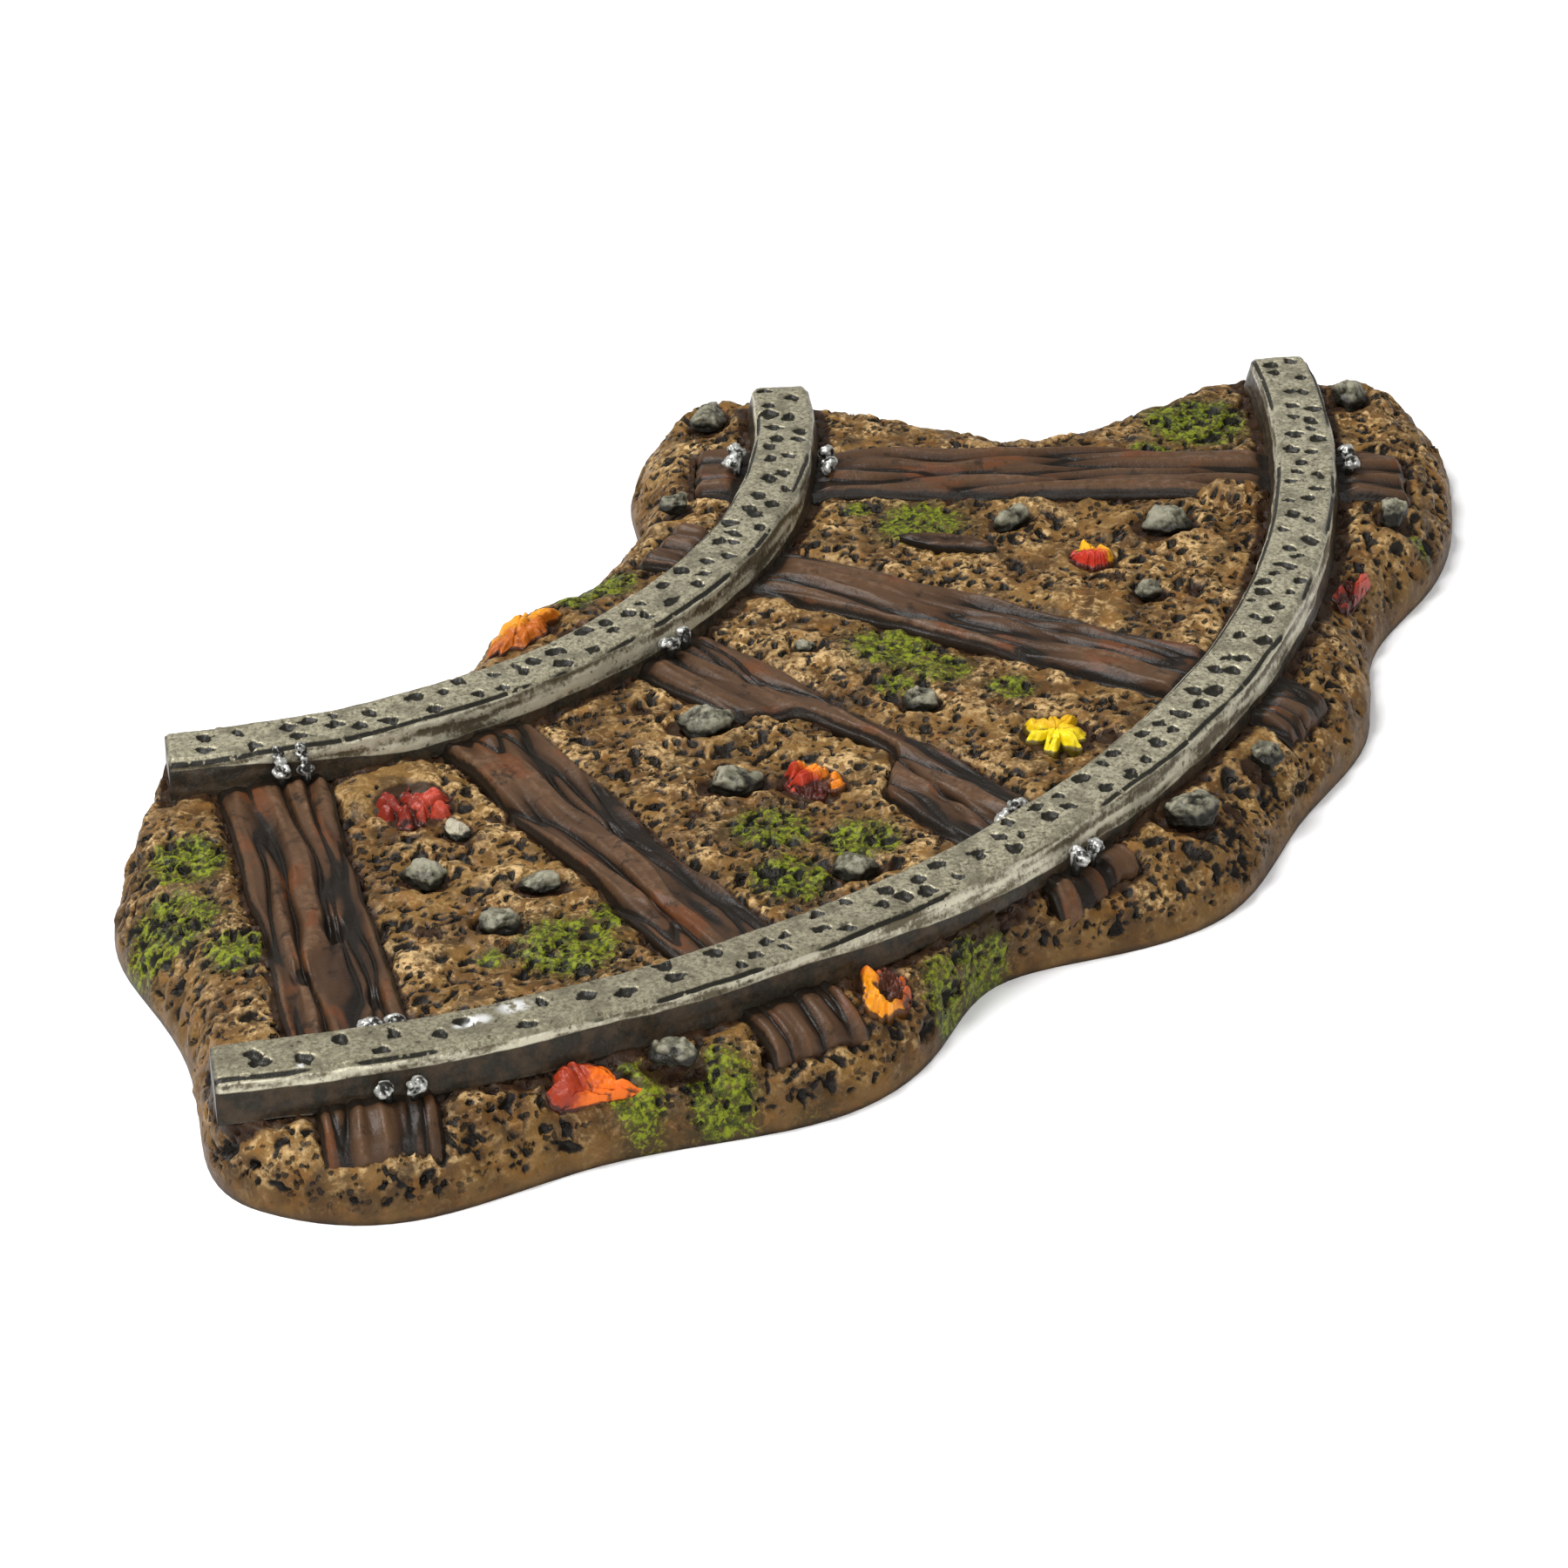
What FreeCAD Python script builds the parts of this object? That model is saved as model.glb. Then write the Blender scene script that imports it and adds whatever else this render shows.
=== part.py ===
"""Curved track section for a village display: a landscaped base that carries two bent rails on
wooden ties, with spikes, stones, a twig and fallen leaves.  FreeCAD macro, millimetres.

Frame: +Z up, the underside lies on z = 0, the origin is under the middle of the bounding box.
The rails are arcs about one curve centre, and the middle of the bend points along -Y.
A place on the section is given by its radius from the curve centre and its angle round the
bend, which is zero at the middle and positive towards +X.
"""

import FreeCAD, Part

import math
import os

import Sketcher

App = FreeCAD
V = App.Vector
UP = V(0, 0, 1)

doc = App.newDocument("curved_track_section")

# ---------------------------------------------------------------- driving dimensions
SIZES = {
    # the bend
    "inner_radius": (74.0, "curve centre to the middle of the inner rail"),
    "gauge": (57.5, "middle of the inner rail to the middle of the outer rail"),
    "section_angle": (88.0, "degrees of bend from rail end to rail end"),
    # the landscaped base
    "base_height": (8.0, "underside to the ground that the pieces sit in"),
    "shoulder_height": (4.6, "height at which the bank turns from wall to slope"),
    "shoulder_inset": (1.5, "how far the bank leans in up to the shoulder"),
    "top_inset": (4.2, "how far the bank leans in up to the ground"),
    "end_lean": (0.3, "share of those insets at the ends of the rails, where the bank is steeper"),
    "rail_bed": (0.6, "least width of ground beside a rail's foot, at the top of the bank"),
    # the rails
    "rail_stand": (3.5, "height of a rail above the ground"),
    "rail_seat": (0.8, "depth that a rail is let into the ground and the ties"),
    "rail_head": (6.4, "width of the top of a rail"),
    "rail_foot": (7.8, "width of the bottom of a rail"),
    "rail_round": (0.7, "rounding of the top edges of a rail"),
    # the ties
    "tie_width": (9.2, "width of a tie"),
    "tie_height": (4.8, "height of a tie"),
    "tie_stand": (1.0, "height of a tie's top above the ground"),
    "tie_inner_end": (10.0, "inner rail to the tie's inner end"),
    "tie_outer_end": (9.0, "outer rail to the tie's outer end"),
    # the spikes
    "spike_shank": (0.5, "radius of a spike's shank"),
    "spike_depth": (2.0, "length of the shank in the tie"),
    "spike_head": (1.0, "radius of a spike's head"),
    "spike_rise": (1.3, "height of a spike's head above the tie"),
    "spike_taper": (0.55, "radius of the top of a spike's head, as a share of its base"),
    "spike_overlap": (0.4, "how far the shank runs up into the head"),
    "spike_spacing": (2.5, "distance between the two spikes of a pair"),
    # the loose-looking pieces
    "stone_bury": (0.42, "share of a stone's height that is below the ground"),
    "leaf_stand": (1.1, "height of a leaf's top above the ground"),
    "leaf_sink": (0.9, "depth that a leaf is let into the ground"),
    "twig_radius": (1.3, "radius of the twig at its thick end"),
    "twig_taper": (0.7, "radius of the twig's thin end, as a share of its thick end"),
    # fits
    "clearance": (0.08, "gap all round a piece in its seat"),
}

sheet = doc.addObject("Spreadsheet::Sheet", "sizes")


def put_cell(row, alias, value, note):
    sheet.set(f"A{row}", alias)
    sheet.set(f"B{row}", str(value))
    sheet.set(f"C{row}", note)
    sheet.setAlias(f"B{row}", alias)


for row, (alias, (value, note)) in enumerate(SIZES.items(), start=1):
    put_cell(row, alias, value, note)
doc.recompute()


def size(alias):
    """The value of a cell."""
    return float(sheet.get(alias))


HALF_TURN = size("section_angle") / 2
R_INNER = size("inner_radius")
R_OUTER = R_INNER + size("gauge")
GROUND = size("base_height")
TIE_TOP = GROUND + size("tie_stand")
RAIL_TOP = GROUND + size("rail_stand")
RAIL_BOTTOM = GROUND - size("rail_seat")
HALF_FOOT = size("rail_foot") / 2
GAP = size("clearance")

# ---------------------------------------------------------------- the outline of the base
# Each edge is a list of hand-set points, in order round the base: along a side, the share of the
# half bend and the width of ground beyond the rail; across an end, the share of the gauge and
# the length of ground beyond the rail's end.
OUTER_BANK = [
    (-0.97, 7.6), (-0.86, 12.3), (-0.68, 9.9), (-0.46, 13.3), (-0.36, 10.6), (-0.24, 5.2),
    (-0.12, 9.9), (-0.01, 14.0), (0.17, 11.9), (0.34, 12.4), (0.5, 9.4), (0.64, 13.8),
    (0.83, 17.6), (0.97, 15.4),
]
RIGHT_END = [
    (1.08, 1.2), (0.92, 2.2), (0.77, -0.6), (0.62, -3.6), (0.46, -4.8), (0.3, -2.2), (0.14, 0.8),
    (0.0, 3.4), (-0.13, 4.6),
]
INNER_BANK = [
    (0.97, 15.8), (0.79, 17.2), (0.6, 15.4), (0.4, 15.8), (0.15, 16.6), (-0.08, 18.6),
    (-0.26, 14.2), (-0.48, 12.8), (-0.72, 12.6), (-0.93, 12.4),
]
LEFT_END = [(-0.1, 0.9), (0.06, 2.8), (0.22, 6.2), (0.38, 6.6), (0.54, 3.9), (0.7, 1.6), (0.9, 1.2)]


def polar(radius, degrees):
    """A point in the curve centre's own frame."""
    angle = math.radians(degrees)
    return V(radius * math.sin(angle), -radius * math.cos(angle), 0)


def side_lean(bank, inset):
    """How far a side leans in: by inset, or less where the bank is narrow, to leave a bed for the rail."""
    room = bank - HALF_FOOT - size("rail_bed")
    return inset * min(1, room / size("top_inset"))


def outline(inset):
    """The points of the base's edge, leaning in by inset."""
    points = []
    for share, bank in OUTER_BANK:
        points.append(polar(R_OUTER + bank - side_lean(bank, inset), share * HALF_TURN))
    for end, edge in ((1, RIGHT_END), (-1, LEFT_END)):
        for share, past in edge:
            radius = R_INNER + share * size("gauge")
            steep = (1 - size("end_lean")) * math.cos(math.pi * share) ** 2
            lean = inset * (1 - steep)
            points.append(polar(radius, end * (HALF_TURN + math.degrees((past - lean) / radius))))
        if end == 1:
            for share, bank in INNER_BANK:
                points.append(polar(R_INNER - bank + side_lean(bank, inset), share * HALF_TURN))
    return points


def closed_curve(points):
    """A smooth closed curve through the points."""
    curve = Part.BSplineCurve()
    curve.interpolate(Points=points, PeriodicFlag=True)
    return curve


foot_box = closed_curve(outline(0)).toShape().BoundBox
CENTRE = V(-foot_box.Center.x, -foot_box.Center.y, 0)
put_cell(len(SIZES) + 2, "centre_x", round(CENTRE.x, 6), "curve centre, from the base's own outline")
put_cell(len(SIZES) + 3, "centre_y", round(CENTRE.y, 6), "curve centre, from the base's own outline")

# ---------------------------------------------------------------- small helpers


def place(thing, radius, degrees, height, turn=0.0):
    """Stand a piece at a place on the bend, turned from the radial direction by turn."""
    spin = App.Rotation(UP, degrees - 90 + turn)
    thing.Placement = App.Placement(CENTRE + polar(radius, degrees) + UP * height, spin)


def bind(thing, **expressions):
    """Bind properties of an object to expressions of the sheet's cells."""
    for name, expression in expressions.items():
        thing.setExpression(name, expression)


def primitive(kind, name, **expressions):
    thing = doc.addObject(f"Part::{kind}", name)
    bind(thing, **expressions)
    return thing


def body_with_sketch(name, role, height=None):
    """A body and a sketch on one of its origin planes, lifted by a cell or left on it."""
    body = doc.addObject("PartDesign::Body", name)
    return body, sketch_in(body, name + "_profile", role, height)


def sketch_in(body, name, role, height=None):
    sketch = body.newObject("Sketcher::SketchObject", name)
    plane = next(item for item in body.Origin.OriginFeatures if item.Role == role)
    sketch.AttachmentSupport = [(plane, "")]
    sketch.MapMode = "FlatFace"
    if height:
        bind(sketch, **{"AttachmentOffset.Base.z": height})
    return sketch


def polygon(sketch, points):
    """Straight lines round the points, joined at their ends."""
    count = len(points)
    for index in range(count):
        sketch.addGeometry(Part.LineSegment(points[index], points[(index + 1) % count]))
    for index in range(count):
        sketch.addConstraint(Sketcher.Constraint("Coincident", index, 2, (index + 1) % count, 1))


def fuse(name, things):
    joined = doc.addObject("Part::MultiFuse", name)
    joined.Shapes = things
    return joined


def cut(name, base, tool):
    result = doc.addObject("Part::Cut", name)
    result.Base = base
    result.Tool = tool
    return result


made = []


def keep(thing, label):
    """This object is a sub-part of the section, and label names its file."""
    thing.Label = label
    made.append(thing)


# ---------------------------------------------------------------- ties


# One row a tie: its middle as a share of the half bend, the degrees it lies out of the radial
# direction, and how much wider, further in and further out than usual it is.
TIES = [
    (-0.85, 2.3, 1.3, 0.0, 0.9),
    (-0.464, 1.9, 0.6, -2.0, 1.6),
    (-0.075, 7.4, 0.2, -2.6, -1.0),
    (0.286, 4.3, 0.4, 0.0, 0.4),
    (0.741, -3.8, 1.3, 0.0, 2.6),
]
SPIKED_TIES = {0: 2.2, 2: 0.0, 4: 0.6}      # every second tie, and how far off its middle line
# the places beside a rail that have no spikes: (tie, rail, side)
WITHOUT_SPIKES = [(0, "inner", "near_centre"), (2, "inner", "near_centre"), (4, "outer", "near_centre")]
R_MIDDLE = (R_INNER + R_OUTER) / 2


def tie_heading(index):
    """Angle of the middle of a tie; index counts from 0."""
    return TIES[index][0] * HALF_TURN


def tie_angle(index, radius):
    """Angle of a tie's middle line where it crosses a radius."""
    drift = math.tan(math.radians(TIES[index][1])) * (R_MIDDLE - radius)
    return tie_heading(index) + math.degrees(drift / radius)


def tie_half_width(index):
    return (size("tie_width") + TIES[index][2]) / 2


def tie_box(index, grow):
    """The timber of one tie, grown all round by a clearance cell."""
    share, skew, wider, further_in, further_out = TIES[index]
    reach = f"sizes.tie_inner_end + sizes.gauge + sizes.tie_outer_end + {further_in} + {further_out}"
    length = f"{reach} + 2 * {grow}"
    width = f"sizes.tie_width + {wider} + 2 * {grow}"
    height = f"sizes.tie_height + 2 * {grow}"
    name = f"tie_{index + 1}_{'seat' if grow != '0' else 'timber'}"
    box = primitive("Box", name, Length=length, Width=width, Height=height)
    loose = GAP if grow != "0" else 0
    inner_end = R_INNER - size("tie_inner_end") - further_in - loose
    spin = App.Rotation(UP, tie_heading(index) - 90 - skew)
    across = V(inner_end - R_MIDDLE, -tie_half_width(index) - loose, 0)
    corner = CENTRE + polar(R_MIDDLE, tie_heading(index)) + spin.multVec(across)
    corner.z = TIE_TOP - size("tie_height") - loose
    box.Placement = App.Placement(corner, spin)
    return box


# ---------------------------------------------------------------- rails


def ring(name, radius, half_width, bottom, top, past_end="0"):
    """A bent bar of rectangular section, used to cut seats; past_end is how many degrees longer."""
    body, sketch = body_with_sketch(name, "XZ_Plane")
    polygon(sketch, [V(radius - half_width, bottom, 0), V(radius + half_width, bottom, 0),
                     V(radius + half_width, top, 0), V(radius - half_width, top, 0)])
    return bend(body, sketch, past_end)


def bend(body, sketch, past_end="0"):
    """Revolve a section about the curve centre, half to each side of the middle."""
    turn = body.newObject("PartDesign::Revolution", body.Name + "_bend")
    turn.Profile = sketch
    turn.ReferenceAxis = (sketch, ["V_Axis"])
    turn.Midplane = True
    bind(turn, Angle=f"sizes.section_angle + {past_end}")
    body.Placement = App.Placement(CENTRE, App.Rotation(UP, -90))
    return body


def rail(name, centre_expression, radius):
    """A rail: a bar with leaning sides and rounded top edges, bent to the curve."""
    body, sketch = body_with_sketch(name, "XZ_Plane")
    half_head = size("rail_head") / 2
    polygon(sketch, [V(radius - HALF_FOOT, RAIL_BOTTOM, 0), V(radius + HALF_FOOT, RAIL_BOTTOM, 0),
                     V(radius + half_head, RAIL_TOP, 0), V(radius - half_head, RAIL_TOP, 0)])
    sketch.addConstraint(Sketcher.Constraint("Horizontal", 0))
    sketch.addConstraint(Sketcher.Constraint("Horizontal", 2))
    held = {
        "foot_left": (("DistanceX", -1, 1, 0, 1, radius - HALF_FOOT), f"{centre_expression} - sizes.rail_foot / 2"),
        "foot_right": (("DistanceX", -1, 1, 0, 2, radius + HALF_FOOT), f"{centre_expression} + sizes.rail_foot / 2"),
        "head_left": (("DistanceX", -1, 1, 2, 2, radius - half_head), f"{centre_expression} - sizes.rail_head / 2"),
        "head_right": (("DistanceX", -1, 1, 2, 1, radius + half_head), f"{centre_expression} + sizes.rail_head / 2"),
        "bottom": (("DistanceY", -1, 1, 0, 1, RAIL_BOTTOM), "sizes.base_height - sizes.rail_seat"),
        "top": (("DistanceY", -1, 1, 2, 1, RAIL_TOP), "sizes.base_height + sizes.rail_stand"),
    }
    for label, (constraint, expression) in held.items():
        number = sketch.addConstraint(Sketcher.Constraint(*constraint))
        sketch.renameConstraint(number, label)
        sketch.setExpression(f"Constraints.{label}", expression)
    bend(body, sketch)
    doc.recompute()
    turn = body.Tip
    edges = [f"Edge{number + 1}" for number, edge in enumerate(turn.Shape.Edges)
             if edge.BoundBox.ZMin > RAIL_TOP - 0.01 and edge.Length > size("rail_head") * 2]
    rounding = body.newObject("PartDesign::Fillet", name + "_round")
    rounding.Base = (turn, edges)
    bind(rounding, Radius="sizes.rail_round")
    return body


rail_inner = rail("rail_inner", "sizes.inner_radius", R_INNER)
keep(rail_inner, "rail_inner")
rail_outer = rail("rail_outer", "sizes.inner_radius + sizes.gauge", R_OUTER)
keep(rail_outer, "rail_outer")

seat_top = RAIL_TOP + TIE_TOP
PAST_END = "4"                     # degrees, so that a seat runs out through the bank at both ends
rail_seats = fuse("rail_seats", [
    ring("rail_inner_seat", R_INNER, HALF_FOOT + GAP, RAIL_BOTTOM - GAP, seat_top, PAST_END),
    ring("rail_outer_seat", R_OUTER, HALF_FOOT + GAP, RAIL_BOTTOM - GAP, seat_top, PAST_END),
])

# ---------------------------------------------------------------- spikes


def spike_places():
    """(name, tie, radius, angle) of every pair of spikes beside the rails."""
    stand_off = HALF_FOOT + GAP + size("spike_head")
    for index, off_middle in SPIKED_TIES.items():
        for rail_name, rail_radius in (("inner", R_INNER), ("outer", R_OUTER)):
            for side_name, side in (("near_centre", -1), ("away", 1)):
                if (index, rail_name, side_name) in WITHOUT_SPIKES:
                    continue
                radius = rail_radius + side * stand_off
                angle = tie_angle(index, radius) + math.degrees(off_middle / radius)
                yield f"spikes_tie_{index + 1}_{rail_name}_{side_name}", index, radius, angle


def spike(name, grow="0"):
    """One spike, or with a clearance the hole for its shank."""
    shank = primitive("Cylinder", name + "_shank", Radius=f"sizes.spike_shank + {grow}",
                      Height=f"sizes.spike_depth + {grow} + sizes.spike_overlap")
    if grow != "0":
        return [shank]
    head = primitive("Cone", name + "_head", Radius1="sizes.spike_head",
                     Radius2="sizes.spike_taper * sizes.spike_head", Height="sizes.spike_rise")
    return [shank, head]


holes = {index: [] for index in range(len(TIES))}
for label, tie_index, radius, degrees in spike_places():
    pair = []
    for number, side in enumerate((-0.5, 0.5)):
        angle = degrees + math.degrees(side * size("spike_spacing") / radius)
        parts = spike(f"{label}_{number + 1}")
        place(parts[0], radius, angle, TIE_TOP - size("spike_depth"))
        place(parts[1], radius, angle, TIE_TOP)
        pair.append(fuse(f"{label}_{number + 1}", parts))
        hole = spike(f"{label}_hole_{number + 1}", "sizes.clearance")[0]
        place(hole, radius, angle, TIE_TOP - size("spike_depth") - GAP)
        holes[tie_index].append(hole)
    group = doc.addObject("Part::Compound", label)
    group.Links = pair
    keep(group, label)

tie_seats = []
for index in range(len(TIES)):
    tools = fuse(f"tie_{index + 1}_cuts", [rail_seats, *holes[index]]) if holes[index] else rail_seats
    tie = cut(f"tie_{index + 1}", tie_box(index, "0"), tools)
    keep(tie, f"tie_{index + 1}")
    tie_seats.append(tie_box(index, "sizes.clearance"))

# ---------------------------------------------------------------- places in the bays
# Bay 0 is the ground before the first tie and bay 5 the ground past the last.  In a bay, "around"
# runs from 0, against the tie before, to 1, against the tie after.  Between the rails, "across"
# runs from 0, against the inner rail, to 1, against the outer rail; outside the rails it is the
# gap in millimetres between the rail and the piece.  A piece past a short tie's end may be beyond 1.


SET_APART = 4 * GAP                # least distance of a stone or a leaf from a tie


def bay_place(bay, zone, across, around, reach, half_width):
    """Radius and angle of a piece that reaches so far radially and is so wide round the bend."""
    clear = HALF_FOOT + 2 * GAP
    if zone == "between":
        low, high = R_INNER + clear + reach, R_OUTER - clear - reach
        radius = low + across * (high - low)
    elif zone == "outside":
        radius = R_OUTER + clear + reach + across
    else:
        radius = R_INNER - clear - reach - across
    start, end = -HALF_TURN, HALF_TURN
    if bay > 0:
        margin = tie_half_width(bay - 1) + SET_APART + half_width
        start = tie_angle(bay - 1, radius) + math.degrees(margin / radius)
    if bay < len(TIES):
        margin = tie_half_width(bay) + SET_APART + half_width
        end = tie_angle(bay, radius) - math.degrees(margin / radius)
    return radius, start + around * (end - start)


# ---------------------------------------------------------------- stones
# name: bay, zone, across, around, half length, half width, height above the ground, turn
STONES = {
    "stone_01": (1, "between", 0.44, 0.24, 2.4, 2.0, 1.7, 10),
    "stone_02": (1, "between", 0.58, 0.87, 2.2, 1.4, 1.2, 70),
    "stone_03": (1, "between", 0.68, 0.5, 1.9, 1.7, 1.5, 30),
    "stone_04": (1, "between", 0.31, 0.64, 1.3, 1.1, 1.2, 0),
    "stone_05": (2, "between", 0.22, 1.0, 3.3, 2.2, 2.0, 60),
    "stone_06": (2, "between", 0.47, 0.58, 3.0, 2.1, 1.8, 60),
    "stone_07": (2, "between", 0.91, 0.53, 2.2, 1.9, 1.6, 40),
    "stone_08": (3, "between", 0.55, 0.29, 1.9, 1.7, 1.5, 20),
    "stone_09": (3, "between", 0.21, 0.39, 1.2, 0.9, 0.8, 30),
    "stone_10": (4, "between", 0.44, 0.83, 2.4, 1.6, 1.4, 60),
    "stone_11": (4, "between", 0.83, 0.87, 3.3, 2.6, 2.1, 50),
    "stone_12": (4, "between", 0.82, 0.27, 1.7, 1.4, 1.3, 40),
    "stone_13": (4, "inside", 4.6, 1.0, 1.9, 1.6, 1.4, 40),
    "stone_14": (1, "outside", 0.5, 0.77, 2.4, 1.9, 1.5, 50),
    "stone_15": (3, "outside", 0.2, 0.28, 3.1, 2.4, 2.0, 60),
    "stone_16": (3, "outside", 2.6, 0.82, 1.9, 1.8, 1.7, 20),
    "stone_17": (4, "outside", 3.6, 0.95, 2.1, 1.7, 1.7, 60),
    "stone_18": (5, "outside", 0.8, 0.64, 2.6, 2.0, 2.0, 70),
    "stone_19": (5, "inside", 1.2, 0.79, 2.8, 2.1, 1.7, 70),
}

inlay_seats = []


def ellipsoid(name, half_length, half_width, above, grow):
    """A stone, or the bowl that it sits in; half its height follows from how deep it is buried."""
    stone = primitive("Ellipsoid", name,
                      Radius1=f"{above} / (2 * (1 - sizes.stone_bury)) + {grow}",
                      Radius2=f"{half_length} + {grow}", Radius3=f"{half_width} + {grow}")
    return stone


for label, (bay, zone, across, around, half_length, half_width, above, turn) in STONES.items():
    widest = max(half_length, half_width)
    radius, degrees = bay_place(bay, zone, across, around, widest, widest)
    middle = GROUND + above - above / (2 * (1 - size("stone_bury")))
    stone = ellipsoid(label, half_length, half_width, above, "0")
    place(stone, radius, degrees, middle, turn)
    keep(stone, label)
    bowl = ellipsoid(label + "_bowl", half_length, half_width, above, "sizes.clearance")
    place(bowl, radius, degrees, middle, turn)
    inlay_seats.append(bowl)

# ---------------------------------------------------------------- leaves
# name: bay, zone, across, around, half size, longer round the bend, lobes, notches, turn
LEAVES = {
    "leaf_red_curled": (1, "between", 0.14, 0.47, 3.8, 1.0, 5, 0.55, 20),
    "leaf_orange_bank": (2, "inside", 4.8, 1.6, 3.4, 1.4, 5, 0.6, 0),
    "leaf_orange_red": (2, "between", 0.59, 1.0, 3.3, 1.0, 5, 0.6, 40),
    "leaf_yellow_maple": (3, "between", 0.9, 0.48, 3.6, 1.0, 5, 0.5, 15),
    "leaf_flame": (4, "between", 0.67, 0.49, 3.0, 1.0, 4, 0.6, 30),
    "leaf_red_edge": (4, "outside", 0.3, 0.55, 2.9, 1.5, 4, 0.7, 0),
    "leaf_orange_hook": (2, "outside", 0.0, 0.06, 2.9, 1.0, 5, 0.5, 10),
    "leaf_ember_folded": (1, "outside", 0.0, 0.45, 3.4, 1.5, 4, 0.75, 0),
}


def leaf(name, half_size, longer, lobes, notch, turn, grow):
    """A flat lobed leaf, or its seat; tips reach half_size across the bend and longer round it."""
    body, sketch = body_with_sketch(name, "XY_Plane")
    tip = half_size + 3 * grow               # three times, as the clearance is measured off slanting edges
    points = []
    for step in range(2 * lobes):
        reach = tip if step % 2 == 0 else notch * tip
        angle = math.pi * step / lobes + math.radians(turn)
        points.append(V(reach * math.cos(angle), longer * reach * math.sin(angle), 0))
    polygon(sketch, points)
    pad = body.newObject("PartDesign::Pad", name + "_pad")
    pad.Profile = sketch
    bind(pad, Length=f"sizes.leaf_stand + sizes.leaf_sink + {2 * grow}")
    return body


for label, (bay, zone, across, around, half_size, longer, lobes, notch, turn) in LEAVES.items():
    radius, degrees = bay_place(bay, zone, across, around, half_size, longer * half_size)
    blade = leaf(label, half_size, longer, lobes, notch, turn, 0)
    place(blade, radius, degrees, GROUND - size("leaf_sink"))
    keep(blade, label)
    seat = leaf(label + "_seat", half_size, longer, lobes, notch, turn, GAP)
    place(seat, radius, degrees, GROUND - size("leaf_sink") - GAP)
    inlay_seats.append(seat)

# ---------------------------------------------------------------- twig
TWIG = (4, "between", 0.29, 0.43, 5.2)       # bay, zone, across, around, half length


def twig(name, half_length, grow):
    """A short broken stick lying on its side, as one fat cone."""
    return primitive("Cone", name, Radius1=f"sizes.twig_radius + {grow}",
                     Radius2=f"sizes.twig_taper * sizes.twig_radius + {grow}", Height=f"{2 * half_length} + 2 * {grow}")


def lay_twig(thing, grow):
    """Lay the stick along the radial direction, half sunk in the ground."""
    bay, zone, across, around, half_length = TWIG
    radius, degrees = bay_place(bay, zone, across, around, half_length, size("twig_radius"))
    start = CENTRE + polar(radius - half_length - grow, degrees) + UP * GROUND
    lying = App.Rotation(UP, degrees - 90).multiply(App.Rotation(V(0, 1, 0), 90))
    thing.Placement = App.Placement(start, lying)


stick = twig("twig", TWIG[4], "0")
lay_twig(stick, 0)
keep(stick, "twig")
trough = twig("twig_trough", TWIG[4], "sizes.clearance")
lay_twig(trough, GAP)
inlay_seats.append(trough)

# ---------------------------------------------------------------- base
LEVELS = [
    ("foot", None, 0.0),
    ("shoulder", "sizes.shoulder_height", size("shoulder_inset")),
    ("ground", "sizes.base_height", size("top_inset")),
]
base, sketch = body_with_sketch("base_bank", "XY_Plane")
sections = [sketch]
for level, height, inset in LEVELS[1:]:
    sections.append(sketch_in(base, f"base_{level}", "XY_Plane", height))
for section, (level, height, inset) in zip(sections, LEVELS):
    section.addGeometry(closed_curve(outline(inset)))
loft = base.newObject("PartDesign::AdditiveLoft", "base_loft")
loft.Profile = sections[0]
loft.Sections = sections[1:]
base.Placement = App.Placement(CENTRE, App.Rotation())

seats = fuse("seats", [rail_seats, *tie_seats, *inlay_seats])
ground = cut("ground_base", base, seats)
keep(ground, "ground_base")

# ---------------------------------------------------------------- check and write
doc.recompute()
faults = [f"{thing.Name}: {thing.State}" for thing in doc.Objects
          if "Invalid" in thing.State or "Error" in thing.State]
for thing in made:
    shape = thing.Shape
    if shape.isNull() or not shape.isValid() or not shape.Solids:
        faults.append(f"{thing.Label}: no valid solid")
if faults:
    raise RuntimeError("; ".join(faults))

os.makedirs("parts", exist_ok=True)
for thing in made:
    thing.Shape.exportStep(os.path.join("parts", thing.Label + ".step"))
    print(f"{thing.Label}: {len(thing.Shape.Solids)} solid(s), {thing.Shape.Volume:.1f} mm3")
print(f"{len(made)} nodes written")
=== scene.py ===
# %% [markdown]
# # A curved track section for a display village
#
# The real object is a hand-painted casting, as long as a hand: a bed of pitted earth with two bent
# rails, five rough ties, silver spikes, stones, fallen leaves and a shard of bark.  In this lesson
# each of those is a piece of its own, sculpted in mesh code and painted with procedural materials.
#
# We start from a finished engineering model.  It fixes where everything is and how big it is, and
# we only ask it for places: nothing in it is moved.

# %% Load the model that fixes every place and size
import math
import random

import bmesh
import bpy
import numpy as np
from mathutils import Matrix, Vector, kdtree, noise


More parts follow.
